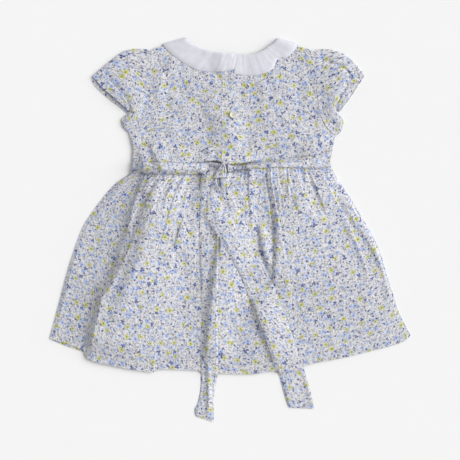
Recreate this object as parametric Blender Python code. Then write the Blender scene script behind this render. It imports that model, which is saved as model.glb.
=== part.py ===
"""A toddler's dress with puffed sleeves, a frilled collar and a back sash, laid flat with its back up.

Every length below is in millimetres and is scaled to metres as a mesh is made. The dress lies on
z = 0. +Y runs from the hem to the neck and +X to the right of someone who looks down on it. The
front panels lie on the surface, the back panels lie on them, and the sash lies on top.
"""
from collections import namedtuple
from math import cos, exp, hypot, pi, sin

import bmesh
import bpy
from mathutils import Vector
from mathutils.bvhtree import BVHTree

MM = 0.001

# Driving dimensions.
WALL = 1.3              # one layer of cloth with what is turned under behind it
LAY = 0.4               # air between a layer and the one it lies on
SEAM = 0.6              # air between two pieces sewn edge to edge
BACK_LEVEL = 2 * WALL + LAY + 0.05   # outside of the back over the plain front
LAP = 32.0              # width of the buttoned lap at the centre back
CENTRE_BACK = 5.0       # the button line, a little right of the middle
LAP_EDGE = CENTRE_BACK - LAP / 2
BUTTON_DIAMETER = 9.5
BUTTON_THICKNESS = 2.2
BUTTON_PLACE = (4.1, 155.0)
BUTTON_EDGE = 0.5       # rounding of the button's rims

# Gathers and ripples: how many, and how high they stand.
SKIRT_GATHERS = 38      # ridges under the waist seam, across the back
SKIRT_GATHER_RISE = 1.7
FRONT_GATHERS = 24      # the broader ones across the front, which lies on the surface
FRONT_GATHER_RISE = 1.1
FRONT_FLAT = -30.0      # below this y the front's gathers have died out and it lies flat
GATHER_LENGTH = 48.0    # distance below the waist over which the back's gathers fade to a third
FRILL_WAVES = 13        # ripples across each half of the back of the collar
FRILL_RIPPLE = 1.0
FRONT_FRILL_WAVES = 14  # ripples across the front of the collar
FRONT_FRILL_RIPPLE = 0.7
SLEEVE_GATHERS = 7      # ridges at the sleeve head and at the cuff
SLEEVE_GATHER_RISE = 0.9

# Fullness of each form over its flat pattern.
BLOUSE = 1.3            # the back of the bodice, just above the sash
SKIRT_RISE = 1.9        # how far the back of the skirt stands off the front between its folds
SLEEVE_PUFF = 2.9
CUFF_CROWN = 1.1
SASH_CRUMPLE = 0.85
SASH_ROLL = 0.9         # what the narrow left side of the sash is thicker by, being rolled
KNOT_DOME = 4.6
KNOT_CREASE = 1.8       # depth of the crease between the knot's two lobes
FOLD_ROUND = 0.75       # rounding where a tube of cloth folds over at its sides
TUBE_INSET = 0.035      # what its wall takes at each side, as a part of its width
CUFF_REACH = 0.95       # part of the cuff seam that the cuff's underarm fold starts at

# Facets: columns and rows of each panel, rings along a tube and round a turn.
FRONT_GRID = (20, 14)
BACK_GRID = (12, 14)
SKIRT_FRONT_ROWS = 8
SKIRT_BACK_ROWS = 11
FRILL_ACROSS = 3
TURN_STEPS = 6
SLEEVE_RINGS = 8
CUFF_RINGS = 3
CUFF_ACROSS = 9
SASH_GRID = (4, 18)
TAIL_GRID = (4, 34)
KNOT_GRID = (10, 10)

# How far round each point a piece looks for what it rests on: about one of its facets.
BODICE_REACH = 13
SKIRT_REACH = 7
FRILL_REACH = 8
SASH_REACH = 7
TAIL_REACH = 10
KNOT_REACH = 3

# The print, the plain white frill and the button.
PRINT = (0.55, 0.57, 0.64, 1.0)
WHITE = (0.78, 0.78, 0.83, 1.0)
PEARL = (0.80, 0.79, 0.68, 1.0)

Fold = namedtuple("Fold", "left right height top_fade end_fade route")
Sleeve = namedtuple("Sleeve", "side top_fold armhole cuff_seam back_edge front_edge bulge under")


# ---------------------------------------------------------------------------
# Paths and patches
# ---------------------------------------------------------------------------

def smooth_run(points, steps=6):
    """Points on a Catmull-Rom curve through a run of (x, y) points."""
    if len(points) < 3:
        return list(points)
    ends = [points[0], *points, points[-1]]
    run = []
    for a, b, c, d in zip(ends, ends[1:], ends[2:], ends[3:]):
        for step in range(steps):
            t = step / steps
            run.append(tuple(
                0.5 * (2 * q + (r - p) * t + (2 * p - 5 * q + 4 * r - s) * t ** 2
                       + (3 * q - p - 3 * r + s) * t ** 3)
                for p, q, r, s in zip(a, b, c, d)))
    run.append(tuple(points[-1]))
    return run


def path(*runs):
    """A function of t, from 0 to 1 by length, along runs that meet at corners."""
    points = []
    for run in runs:
        points += [p for p in smooth_run(run) if not points or p != points[-1]]
    lengths = [0.0]
    for a, b in zip(points, points[1:]):
        lengths.append(lengths[-1] + hypot(b[0] - a[0], b[1] - a[1]))

    def along(t):
        goal = min(max(t, 0.0), 1.0) * lengths[-1]
        k = 1
        while k < len(lengths) - 1 and lengths[k] < goal:
            k += 1
        f = (goal - lengths[k - 1]) / (lengths[k] - lengths[k - 1])
        return tuple(p + (q - p) * f for p, q in zip(points[k - 1], points[k]))
    return along


def patch(low, high, left, right):
    """Coons patch: place(u, v) inside four paths that share their corners."""
    corners = low(0), low(1), high(0), high(1)

    def place(u, v):
        sides = low(u), high(u), left(v), right(v)
        weights = 1 - v, v, 1 - u, u
        blend = (1 - u) * (1 - v), u * (1 - v), (1 - u) * v, u * v
        return tuple(
            sum(w * side[i] for w, side in zip(weights, sides))
            - sum(w * corner[i] for w, corner in zip(blend, corners))
            for i in (0, 1))
    return place


def strip(left, right):
    """Place(u, v) straight across from one long edge to the other."""
    def place(u, v):
        a, b = left(v), right(v)
        return a[0] + (b[0] - a[0]) * u, a[1] + (b[1] - a[1]) * u
    return place


def ease(t):
    """0 to 1 with level ends."""
    t = min(max(t, 0.0), 1.0)
    return t * t * (3 - 2 * t)


# ---------------------------------------------------------------------------
# Solids of cloth
# ---------------------------------------------------------------------------

def collection():
    group = bpy.data.collections.get("toddler_dress")
    if group is None:
        group = bpy.data.collections.new("toddler_dress")
        bpy.context.scene.collection.children.link(group)
    return group


def finish_object(name, mesh, colour, roughness=0.85):
    """Turn a bmesh in millimetres into the named object with its own material."""
    bmesh.ops.scale(mesh, verts=mesh.verts[:], vec=(MM, MM, MM))
    bmesh.ops.recalc_face_normals(mesh, faces=mesh.faces[:])
    data = bpy.data.meshes.new(name)
    mesh.to_mesh(data)
    mesh.free()
    material = bpy.data.materials.new(name)
    material.use_nodes = True
    shader = material.node_tree.nodes["Principled BSDF"]
    shader.inputs["Base Color"].default_value = colour
    shader.inputs["Roughness"].default_value = roughness
    shader.inputs["Metallic"].default_value = 0.0
    data.materials.append(material)
    piece = bpy.data.objects.new(name, data)
    collection().objects.link(piece)
    return piece


def cover(mesh):
    """What a later piece can rest on."""
    return BVHTree.FromBMesh(mesh)


def rest(covers, x, y, reach):
    """Highest point of the pieces below, within reach of (x, y), or 0 on the bare surface."""
    samples = 3
    top = 0.0
    for i in range(-samples, samples + 1):
        for j in range(-samples, samples + 1):
            start = Vector((x + reach * i / samples, y + reach * j / samples, 100.0))
            for tree in covers:
                hit = tree.ray_cast(start, Vector((0, 0, -1)))[0]
                if hit is not None:
                    top = max(top, hit.z)
    return top


def panel(name, place, grid, colour, on=(), reach=0.0, level=0.0, form=None, wall=None):
    """A laid panel: a grid on what is below it, raised by its form, then by its wall.

    level is the least height of its underside, form(u, v, x, y) the height added under the cloth and
    wall(u, v) its thickness.
    """
    mesh = bmesh.new()
    bmesh.ops.create_grid(mesh, x_segments=grid[0], y_segments=grid[1], size=0.5)
    bmesh.ops.triangulate(mesh, faces=mesh.faces[:], quad_method="FIXED")
    thickness = {}
    for vertex in mesh.verts:
        u = vertex.co.x + 0.5
        v = vertex.co.y + 0.5
        x, y = place(u, v)
        below = rest(on, x, y, reach)
        z = max(level, below + LAY if below else 0.0)
        if form:
            z += form(u, v, x, y)
        vertex.co = Vector((x, y, z))
        thickness[tuple(vertex.co)] = wall(u, v) if wall else WALL
    lifted = bmesh.ops.extrude_face_region(mesh, geom=mesh.faces[:])
    for part in lifted["geom"]:
        if isinstance(part, bmesh.types.BMVert):
            part.co.z += thickness[tuple(part.co)]
    tree = cover(mesh)
    finish_object(name, mesh, colour)
    return tree


def shell(name, outside, inside, colour, wrap=False):
    """A closed wall between two like grids of points; wrap closes the grids round a tube."""
    mesh = bmesh.new()
    sheets = [[[mesh.verts.new(point) for point in row] for row in grid] for grid in (outside, inside)]
    rows = len(outside)
    columns = len(outside[0])
    last = columns if wrap else columns - 1

    def face(*corners):
        mesh.faces.new(corners[:3])
        mesh.faces.new((corners[2], corners[3], corners[0]))

    for sheet in sheets:
        for j in range(rows - 1):
            for i in range(last):
                k = (i + 1) % columns
                face(sheet[j][i], sheet[j][k], sheet[j + 1][k], sheet[j + 1][i])
    outer, inner = sheets
    for j in (0, rows - 1):
        for i in range(last):
            k = (i + 1) % columns
            face(outer[j][i], outer[j][k], inner[j][k], inner[j][i])
    if not wrap:
        for i in (0, columns - 1):
            for j in range(rows - 1):
                face(outer[j][i], outer[j + 1][i], inner[j + 1][i], inner[j][i])
    bmesh.ops.recalc_face_normals(mesh, faces=mesh.faces[:])
    tree = cover(mesh)
    finish_object(name, mesh, colour)
    return tree


def fold_height(fold, x, y):
    """Height of one soft ridge (or trough) that runs down the cloth along its route."""
    route = fold.route
    top, end = route[0][1], route[-1][1]
    if y > top + fold.top_fade or y < end - fold.end_fade:
        return 0.0
    k = 1
    while k < len(route) - 1 and route[k][1] > y:
        k += 1
    (xa, ya), (xb, yb) = route[k - 1], route[k]
    slope = (xb - xa) / (yb - ya)
    across = (x - (xa + slope * (y - ya))) / hypot(1, slope)
    width = fold.left if across < 0 else fold.right
    if abs(across) >= width:
        return 0.0
    fade = ease((top + fold.top_fade - y) / fold.top_fade) if fold.top_fade else 1.0
    if fold.end_fade:
        fade *= ease((y - end + fold.end_fade) / fold.end_fade)
    return fold.height * fade * (0.5 + 0.5 * cos(pi * across / width))


# ---------------------------------------------------------------------------
# Outline of the laid dress: (x, y) from the middle of its box
# ---------------------------------------------------------------------------

WAIST = ((-132.3, 79.5), (-95, 79), (-50, 79.5), (0, 81), (50, 83.5), (95, 86.5), (135.4, 89))
LEFT_SIDE = ((-132.3, 79.5), (-131.6, 97), (-131.3, 111), (-136, 131.5))
RIGHT_SIDE = ((135.4, 89), (136.6, 98.7), (139.5, 112.5), (142.2, 126.2))
LEFT_ARMHOLE = ((-136, 131.5), (-128.8, 136), (-119.7, 145), (-112.1, 157), (-108.2, 182),
                (-107.8, 216), (-106.1, 243))
RIGHT_ARMHOLE = ((142.2, 126.2), (135.5, 132.5), (127, 143.5), (121, 160), (117.5, 190),
                 (116.2, 220), (114.4, 241.5))
LEFT_SHOULDER = ((-106.1, 243), (-98, 246.2), (-92.5, 247.4), (-86, 248.2), (-60.5, 254.6))
RIGHT_SHOULDER = ((64.5, 253.8), (86, 248.6), (93, 247.6), (99, 246.2), (114.4, 241.5))
BACK_NECK = ((-60.5, 254.6), (-52.5, 249.4), (-42, 244), (-28, 239.5), (-11, 236.7), (7, 235.2),
             (25, 235), (36, 236.5), (46, 240.5), (55, 246.4), (64.5, 253.8))
FRONT_NECK = ((-60.5, 254.6), (-53, 236), (-38, 219), (-18, 210), (2, 208), (22, 210),
              (42, 219), (57, 236), (64.5, 253.8))

SKIRT_LEFT = ((-132.3, 79.5), (-140.3, 72.8), (-152.7, 64.5), (-165, 52), (-176, 38), (-187, 23),
              (-196.7, 8), (-204.5, -10), (-214.7, -39), (-223, -67), (-231, -98), (-244.2, -147))
SKIRT_RIGHT = ((135.4, 89), (141.5, 76), (153, 58.5), (165, 39.5), (175.5, 22), (185.4, 6),
               (195.6, -13), (203, -29), (210, -53), (222, -91), (228, -110), (244.4, -142.3))
BACK_HEM = (((-244.2, -147), (-228.4, -151), (-212, -156.5), (-197.5, -162)),
            ((-197.5, -162), (-193.5, -173)),
            ((-193.5, -173), (-180, -178.3), (-159.6, -182.7), (-139, -187), (-118, -190.2),
             (-103.5, -192.8)),
            ((-103.5, -192.8), (-100.5, -188.6)),
            ((-100.5, -188.6), (-85, -188), (-63, -188.8), (-40, -190.3), (-16, -192.9),
             (10, -194.4), (32, -194.4), (47, -192), (63, -189.6), (98.6, -184), (118, -179),
             (149, -173.3), (172, -167.8), (195.5, -162), (216, -157), (234, -150.8),
             (244.4, -142.3)))
FRONT_HEM = (((-244.2, -147), (-228.4, -153.8), (-212, -160), (-195.3, -165.4), (-160, -179),
              (-118, -187), (-70, -186.5), (-16, -190), (32, -191.5), (63, -187), (118, -176.5),
              (172, -165.5), (216, -154.5), (234, -149), (244.4, -142.3)),)

# Frill: its neck edge and its outer edge, as seen from the back and, below, from the front.
FRILL_LEFT = (((9.2, 237.1), (-11.7, 238.7), (-28.9, 241.5), (-42.7, 245.6), (-54, 253.9),
               (-61.3, 260.1)),
              ((5.2, 215.6), (-3.5, 215.2), (-11.7, 213.6), (-22, 213.4), (-35.8, 214.6), (-46.2, 216.6),
               (-58.6, 222.9), (-68.2, 229.1), (-83.3, 241.5), (-91.8, 251.8)))
FRILL_RIGHT = (((10.4, 237), (24.3, 236.9), (34.6, 238), (45, 242.2), (54, 248.4), (61.5, 254.4),
                (66, 259.3)),
               ((6.6, 210.6), (15.9, 209.1), (27.7, 209), (40.1, 209.8), (52.5, 213.6), (58.5, 218.5),
                (63, 228.4), (67.6, 232), (75, 232.6), (82.1, 236.7), (88.3, 244.2), (92.3, 252.6)))
FRILL_FRONT = (((-61.3, 260.1), (-53, 240), (-38, 223), (-18, 213.5), (2, 211.5), (22, 213.5),
                (42, 223), (57.5, 240), (66, 259.3)),
               ((-91.8, 251.8), (-85, 226), (-66, 203), (-36, 188.5), (2, 184), (40, 188.5),
                (70, 203), (88, 226), (92.3, 252.6)))

# Sleeves. The cuff seam ends at the notch under the cuff; below it the sleeve bulges out to its tip.
SLEEVES = (
    Sleeve(side="left",
           top_fold=((-117, 243.9), (-131, 244), (-143, 240.6), (-155.7, 232.2), (-169.4, 221), (-174, 217)),
           armhole=LEFT_ARMHOLE,
           cuff_seam=((-174, 217), (-165.5, 205.5), (-154, 193), (-143, 180), (-136.5, 169), (-135, 160.5)),
           back_edge=((-185.4, 207), (-172.3, 191.8), (-162, 183.5), (-148.5, 171.5), (-138, 161.3)),
           front_edge=((-186, 202.5), (-180.5, 192.4), (-162.5, 175.8), (-147.4, 164.7), (-140.2, 158.8)),
           bulge=((-139.5, 155.5), (-146, 149.6)),
           under=((-144.2, 140), (-146, 149.6))),
    Sleeve(side="right",
           top_fold=((124.2, 243.9), (138, 242.6), (151.7, 237.7), (164.2, 229.5), (173, 219.4)),
           armhole=RIGHT_ARMHOLE,
           cuff_seam=((173, 219.4), (165.5, 206), (157, 191), (149.5, 178), (144.5, 168), (143.5, 161)),
           back_edge=((180.8, 209), (174.4, 199.3), (163.6, 182.7), (154, 170.2), (147, 161.5)),
           front_edge=((180.8, 206), (175.2, 198), (164.6, 181), (155, 168.5), (148.6, 160)),
           bulge=((147.5, 156.2), (153.6, 147.5)),
           under=((150.2, 134.5), (153.6, 147.5))),
)

# Folds in the back of the skirt, from the left side to the right.
SKIRT_FOLDS = (
    Fold(left=16, right=8, height=-2.6, top_fade=0, end_fade=0,
         route=((-112, 80), (-130, 44), (-143, 5), (-157, -34), (-170, -72), (-182, -111), (-193, -165))),
    Fold(left=10, right=26, height=2.9, top_fade=0, end_fade=0,
         route=((-99, 80), (-114, 50), (-127, 6), (-141, -34), (-153, -72), (-167, -111), (-180, -165))),
    Fold(left=7, right=9, height=-1.6, top_fade=14, end_fade=24,
         route=((-104, 60), (-117, 20), (-127, -10), (-139, -40), (-148, -60))),
    Fold(left=16, right=14, height=1.4, top_fade=20, end_fade=60,
         route=((-84, 66), (-94, 20), (-108, -40), (-118, -90))),
    Fold(left=6, right=6, height=-1.6, top_fade=10, end_fade=10, route=((-63, 18), (-74, -22))),
    Fold(left=20, right=18, height=1.0, top_fade=20, end_fade=40,
         route=((-52, 60), (-56, 0), (-64, -60), (-70, -110))),
    Fold(left=7, right=8, height=-2.2, top_fade=14, end_fade=26,
         route=((56, 70), (55, 30), (57, -2), (58, -36), (56, -60))),
    Fold(left=9, right=18, height=1.6, top_fade=20, end_fade=60,
         route=((70, 66), (69, 20), (72, -30), (74, -80))),
    Fold(left=10, right=14, height=-1.8, top_fade=14, end_fade=0,
         route=((34, -104), (43, -130), (50, -165), (54, -194))),
    Fold(left=6, right=7, height=-1.6, top_fade=0, end_fade=12, route=((108, 86), (113, 62), (126, 31))),
    Fold(left=14, right=16, height=1.2, top_fade=16, end_fade=60,
         route=((120, 60), (134, 20), (142, -30), (148, -80))),
    Fold(left=12, right=8, height=-1.8, top_fade=16, end_fade=60,
         route=((150, 46), (162, 26), (178, -3), (192, -31), (207, -78), (216, -110))),
    Fold(left=18, right=18, height=1.0, top_fade=40, end_fade=0,
         route=((96, -20), (104, -80), (112, -140), (118, -180))),
)

# Sash: each side from its seam to the knot, the knot and the two tails.
SASH_RIGHT = (((134.2, 107.2), (121.5, 101.9), (106.7, 99.6), (77, 99.2), (43.2, 96.3), (13.5, 92.9),
               (-3, 91)),
              ((135.1, 83.6), (106.4, 83.6), (94.5, 85.2), (69.8, 87.2), (47.8, 87.8), (31, 88),
               (9.5, 84.5), (-2.5, 82)))
SASH_LEFT = (((-131, 85.5), (-108, 83.2), (-73, 82.2), (-52.7, 83.8), (-40.5, 88.6), (-32.4, 91.2),
              (-16, 89.6)),
             ((-131, 78), (-101.3, 76.7), (-56.7, 77), (-32.4, 76.7), (-20, 78)))
KNOT = (((-26, 72.5), (-18, 66.5), (-5, 68)),
        ((-21, 84.5), (-14, 89.5), (-6.5, 88.5)),
        ((-26, 72.5), (-26.5, 78.5), (-21, 84.5)),
        ((-5, 68), (-4, 78), (-6.5, 88.5)))
TAIL_LEFT = (((-36, 66), (-40, 40), (-40.5, 18), (-40.1, -41), (-39.5, -110), (-39.6, -193), (-40.2, -216),
              (-44, -234), (-48.3, -243), (-46.8, -252)),
             ((-14, 62), (-15, 30), (-14.9, -14), (-15.5, -58), (-16, -111), (-16.3, -193), (-21, -216),
              (-22, -234), (-22, -260.3)))
TAIL_RIGHT = (((-21, 69), (-27.5, 52), (-27.5, 34), (-24, 20), (-19.6, 2.4), (-11.3, -14), (5.3, -44.4),
               (16.2, -65), (26.3, -92), (38, -117), (51, -155), (63, -190), (68.4, -202), (74, -224),
               (79, -240)),
              ((-4, 67), (4, 48), (13, 28), (24, 5), (35, -20), (43.7, -40), (53.5, -61), (62.9, -85),
               (73, -110.6), (85.5, -146), (98.6, -184), (108.7, -219), (114, -242.5)))


# ---------------------------------------------------------------------------
# Pieces, from the surface up
# ---------------------------------------------------------------------------

def offset(run, dx, dy):
    return tuple((x + dx, y + dy) for x, y in run)


def frill_rows(edges, first, last, steps, across, low):
    """Rows of (x, y, z) from the neck edge to the outer edge of a stretch of the frill."""
    neck, outer = path(edges[0]), path(edges[1])
    rows = []
    for i in range(steps + 1):
        s = first + (last - first) * i / steps
        a, b = neck(s), outer(s)
        row = []
        for j in range(across + 1):
            t = j / across
            x, y = a[0] + (b[0] - a[0]) * t, a[1] + (b[1] - a[1]) * t
            row.append(Vector((x, y, low(s, t, x, y))))
        rows.append(row)
    return rows


def frill_front_rows(across):
    """The part of the frill that lies on the surface, under the front of the bodice."""
    def ripple(s, t, x, y):
        ends = min(1, 12 * min(s, 1 - s))
        return FRONT_FRILL_RIPPLE * t * ends * (0.5 - 0.5 * cos(2 * pi * FRONT_FRILL_WAVES * s))
    return frill_rows(FRILL_FRONT, 0.04, 0.96, 2 * FRONT_FRILL_WAVES, across, ripple)


def frill_cover(rows):
    """The upper side of the front frill, for the bodice to rest on."""
    count = len(rows[0])
    points = [point + Vector((0, 0, WALL)) for row in rows for point in row]
    faces = [(j * count + i, j * count + i + 1, (j + 1) * count + i + 1, (j + 1) * count + i)
             for j in range(len(rows) - 1) for i in range(count - 1)]
    return BVHTree.FromPolygons(points, faces)


def make_bodice(frill_below):
    """Front, then the two backs; the right back laps over the left at the buttons."""
    left_side, right_side = path(LEFT_SIDE, LEFT_ARMHOLE), path(RIGHT_SIDE, RIGHT_ARMHOLE)
    front = panel("bodice_front",
                  patch(path(WAIST), path(LEFT_SHOULDER, FRONT_NECK, RIGHT_SHOULDER), left_side, right_side),
                  FRONT_GRID, PRINT, on=(frill_below,), reach=BODICE_REACH)

    neck = path(BACK_NECK)
    waist = path(WAIST)

    def cut(x):
        """Where a straight cut at x meets the neck edge and the waist seam."""
        def meet(curve):
            low, high = 0.0, 1.0
            for _ in range(40):
                middle = (low + high) / 2
                low, high = (middle, high) if curve(middle)[0] < x else (low, middle)
            return low
        return meet(neck), meet(waist)

    def part(curve, start, end):
        """A stretch of a path, as a path of its own."""
        return path(tuple(curve(start + (end - start) * k / 12) for k in range(13)))

    under = CENTRE_BACK + LAP / 2
    neck_at, waist_at = cut(under)
    left_neck = tuple(neck(neck_at * k / 8) for k in range(9))
    left = panel("bodice_back_left",
                 patch(part(waist, 0, waist_at), path(LEFT_SHOULDER, left_neck), left_side,
                       path((waist(waist_at), neck(neck_at)))),
                 BACK_GRID, PRINT, on=(front,), reach=BODICE_REACH,
                 level=BACK_LEVEL - WALL, form=bodice_form)
    neck_at, waist_at = cut(LAP_EDGE)
    right_neck = tuple(neck(neck_at + (1 - neck_at) * k / 8) for k in range(9))
    right = panel("bodice_back_right",
                  patch(part(waist, waist_at, 1), path(right_neck, RIGHT_SHOULDER),
                        path((waist(waist_at), neck(neck_at))), right_side),
                  BACK_GRID, PRINT, on=(front, left), reach=BODICE_REACH,
                  level=BACK_LEVEL - WALL, form=bodice_form)
    return front, left, right


def bodice_form(u, v, x, y):
    """The back blouses softly above the sash, between its side seams."""
    above_waist = max(0.0, 1 - abs(y - 112) / 34)
    inside = ease((136 - abs(x)) / 30)
    return BLOUSE * above_waist * inside * (0.75 + 0.25 * cos(x / 17))


def gather_fall(y, waist=82.0):
    """How strong the gathers still are at y, 1 at the waist seam."""
    return exp(-max(0.0, waist - y) / GATHER_LENGTH)


def make_skirt():
    """Front on the surface and back on it, each gathered into the waist seam."""
    waist = path(offset(WAIST, 0, -SEAM))
    left, right = path(offset(SKIRT_LEFT, 0, -SEAM)), path(offset(SKIRT_RIGHT, 0, -SEAM))

    def hem(runs):
        return path(*(offset(run, 0, -SEAM) for run in runs))

    def down(low, high):
        """The patch runs from the hem at v = 0 to the waist at v = 1."""
        return patch(low, high, lambda v: left(1 - v), lambda v: right(1 - v))

    def front_form(u, v, x, y):
        fade = ease((y - FRONT_FLAT) / (WAIST[0][1] - FRONT_FLAT))
        return FRONT_GATHER_RISE * fade * (0.5 + 0.5 * cos(2 * pi * FRONT_GATHERS * u))

    front = panel("skirt_front", down(hem(FRONT_HEM), waist), (2 * FRONT_GATHERS, SKIRT_FRONT_ROWS), PRINT,
                  form=front_form)

    def back_form(u, v, x, y):
        ridge = 0.5 + 0.5 * cos(2 * pi * SKIRT_GATHERS * u)
        uneven = 0.75 + 0.25 * cos(9.4 * u * pi + 1.0)
        inside = ease(min(u, 1 - u) / 0.07)
        folds = sum(fold_height(fold, x, y) for fold in SKIRT_FOLDS)
        body = SKIRT_RISE * ease(min(u, 1 - u) / 0.16) * ease((84 - y) / 60)
        gathers = SKIRT_GATHER_RISE * ridge * uneven * gather_fall(y)
        return max(0.0, (body + folds) * inside + gathers)

    back = panel("skirt_back", down(hem(BACK_HEM), waist), (2 * SKIRT_GATHERS, SKIRT_BACK_ROWS), PRINT,
                 on=(front,), reach=SKIRT_REACH, level=BACK_LEVEL - WALL, form=back_form)
    return front, back


def sleeve_ring(upper, lower, s, across, top, bottom):
    """Outer and inner points round a flattened tube, over its top and back under it."""
    inset = TUBE_INSET
    steps = [0.0] + [inset + (1 - 2 * inset) * k / (across - 2) for k in range(across - 1)] + [1.0]
    outer, inner = [], []
    for t in steps:
        outer.append(Vector((*upper(t, s), top(t, s))))
        t = inset + (1 - 2 * inset) * t
        inner.append(Vector((*upper(t, s), max(top(t, s) - WALL, WALL + LAY))))
    for t in reversed(steps):
        outer.append(Vector((*lower(t, s), bottom(t))))
        t = inset + (1 - 2 * inset) * t
        inner.append(Vector((*lower(t, s), WALL)))
    return outer, inner


def tube(name, rings):
    """The closed wall of a tube of the print, from its rings of outer and inner points."""
    outside, inside = zip(*rings)
    shell(name, outside, inside, PRINT, wrap=True)


def edge_round(t):
    """How far a fold at either side of a flattened tube is rounded off."""
    return FOLD_ROUND if t < 1e-6 or t > 1 - 1e-6 else 0.0


def make_sleeve(sleeve):
    """A short puffed sleeve: one tube, gathered at its head and into its cuff."""
    out = -SEAM if sleeve.side == "left" else SEAM
    head = path(offset(tuple(reversed(sleeve.armhole)), out, 0.8 * SEAM))
    top_fold = path((head(0), *sleeve.top_fold))
    under = path((head(1), *sleeve.under))
    cuff_end = path(sleeve.cuff_seam, (sleeve.cuff_seam[-1], *sleeve.bulge))
    place = patch(head, cuff_end, top_fold, under)

    def top(t, s):
        puff = SLEEVE_PUFF * sin(pi * t) ** 0.7 * sin(pi * (0.12 + 0.76 * s)) ** 0.8
        ends = max(0.0, 1 - s / 0.3) + max(0.0, 1 - (1 - s) / 0.3)
        ridge = SLEEVE_GATHER_RISE * ends * sin(pi * t) * (0.5 + 0.5 * cos(2 * pi * SLEEVE_GATHERS * t))
        return BACK_LEVEL + puff + ridge - edge_round(t)

    rings = [sleeve_ring(place, place, k / (SLEEVE_RINGS - 1), 2 * SLEEVE_GATHERS + 2, top, edge_round)
             for k in range(SLEEVE_RINGS)]
    tube("sleeve_" + sleeve.side, rings)


def make_cuff(sleeve):
    """The band that the sleeve is gathered into; its back edge lies inside its front edge."""
    seam = sleeve.cuff_seam
    away = Vector((seam[2][1] - seam[-1][1], seam[-1][0] - seam[2][0])).normalized() * SEAM
    if sleeve.side == "right":
        away = -away
    step = 1 if sleeve.side == "left" else -1
    seam = offset(seam, -abs(away.x) * step, -abs(away.y))

    def band(edge):
        low, high = path(seam), path(edge)

        def place(t, s):
            a, b = low(t * CUFF_REACH), high(t)
            return a[0] + (b[0] - a[0]) * s, a[1] + (b[1] - a[1]) * s
        return place

    def top(t, s):
        return BACK_LEVEL + CUFF_CROWN * sin(pi * t) - edge_round(t)

    upper, lower = band(sleeve.back_edge), band(sleeve.front_edge)
    rings = [sleeve_ring(upper, lower, k / (CUFF_RINGS - 1), CUFF_ACROSS, top, edge_round)
             for k in range(CUFF_RINGS)]
    tube("cuff_" + sleeve.side, rings)


def make_collar(front_rows, covers):
    """One gathered strip round the neck, from the centre back under the front to the centre back."""
    across = len(front_rows[0]) - 1

    def lie(s, t, x, y):
        """The inner side of the back of the frill, on the bodice and rippled at its outer edge."""
        ripple = FRILL_RIPPLE * t * (0.5 - 0.5 * cos(2 * pi * FRILL_WAVES * s))
        return rest(covers, x, y, FRILL_REACH) + LAY + ripple * ease((1 - s) / 0.12)

    steps = 2 * FRILL_WAVES
    left = frill_rows(FRILL_LEFT, 0.0, 0.93, steps, across, lie)
    right = frill_rows(FRILL_RIGHT, 0.0, 0.93, steps, across, lie)
    up = Vector((0, 0, 1))
    outside, inside = [], []

    def add(rows, face_up):
        for row in rows:
            if face_up:
                inside.append(row)
                outside.append([point + up * WALL for point in row])
            else:
                outside.append(row)
                inside.append([point + up * WALL for point in row])

    def turn(above, below, edges, at_left):
        """Round the shoulder: half a turn about the layers that it holds."""
        neck, outer = Vector((*path(edges[0])(1), 0)), Vector((*path(edges[1])(1), 0))
        out = Vector((outer.y - neck.y, neck.x - outer.x, 0)).normalized()
        if out.y < 0:
            out = -out
        for k in range(TURN_STEPS + 1):
            angle = pi * (k if at_left else TURN_STEPS - k) / TURN_STEPS
            swing = out * sin(angle) + up * cos(angle)
            inner_row, outer_row = [], []
            for j in range(across + 1):
                high, low = above[j].z, below[j].z + WALL
                radius = (high - low) / 2
                centre = neck.lerp(outer, j / across) - out * (radius + WALL) + up * (high + low) / 2
                inner_row.append(centre + swing * radius)
                outer_row.append(centre + swing * (radius + WALL))
            inside.append(inner_row)
            outside.append(outer_row)

    add(left, True)
    turn(left[-1], front_rows[0], FRILL_LEFT, True)
    add(front_rows, False)
    turn(right[-1], front_rows[-1], FRILL_RIGHT, False)
    add(list(reversed(right)), True)
    return shell("collar", outside, inside, WHITE)


def make_button(covers):
    """A round button on the centre-back line, its edge softened."""
    x, y = BUTTON_PLACE
    base = rest(covers, x, y, BUTTON_DIAMETER / 2) + LAY
    mesh = bmesh.new()
    bmesh.ops.create_cone(mesh, cap_ends=True, cap_tris=False, segments=24, radius1=BUTTON_DIAMETER / 2,
                          radius2=BUTTON_DIAMETER / 2, depth=BUTTON_THICKNESS)
    rims = [edge for edge in mesh.edges if abs(edge.verts[0].co.z - edge.verts[1].co.z) < 1e-6]
    bmesh.ops.bevel(mesh, geom=rims, offset=BUTTON_EDGE, segments=2, affect="EDGES", profile=0.5)
    bmesh.ops.translate(mesh, verts=mesh.verts[:], vec=(x, y, base + BUTTON_THICKNESS / 2))
    finish_object("button", mesh, PEARL, roughness=0.3)


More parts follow.
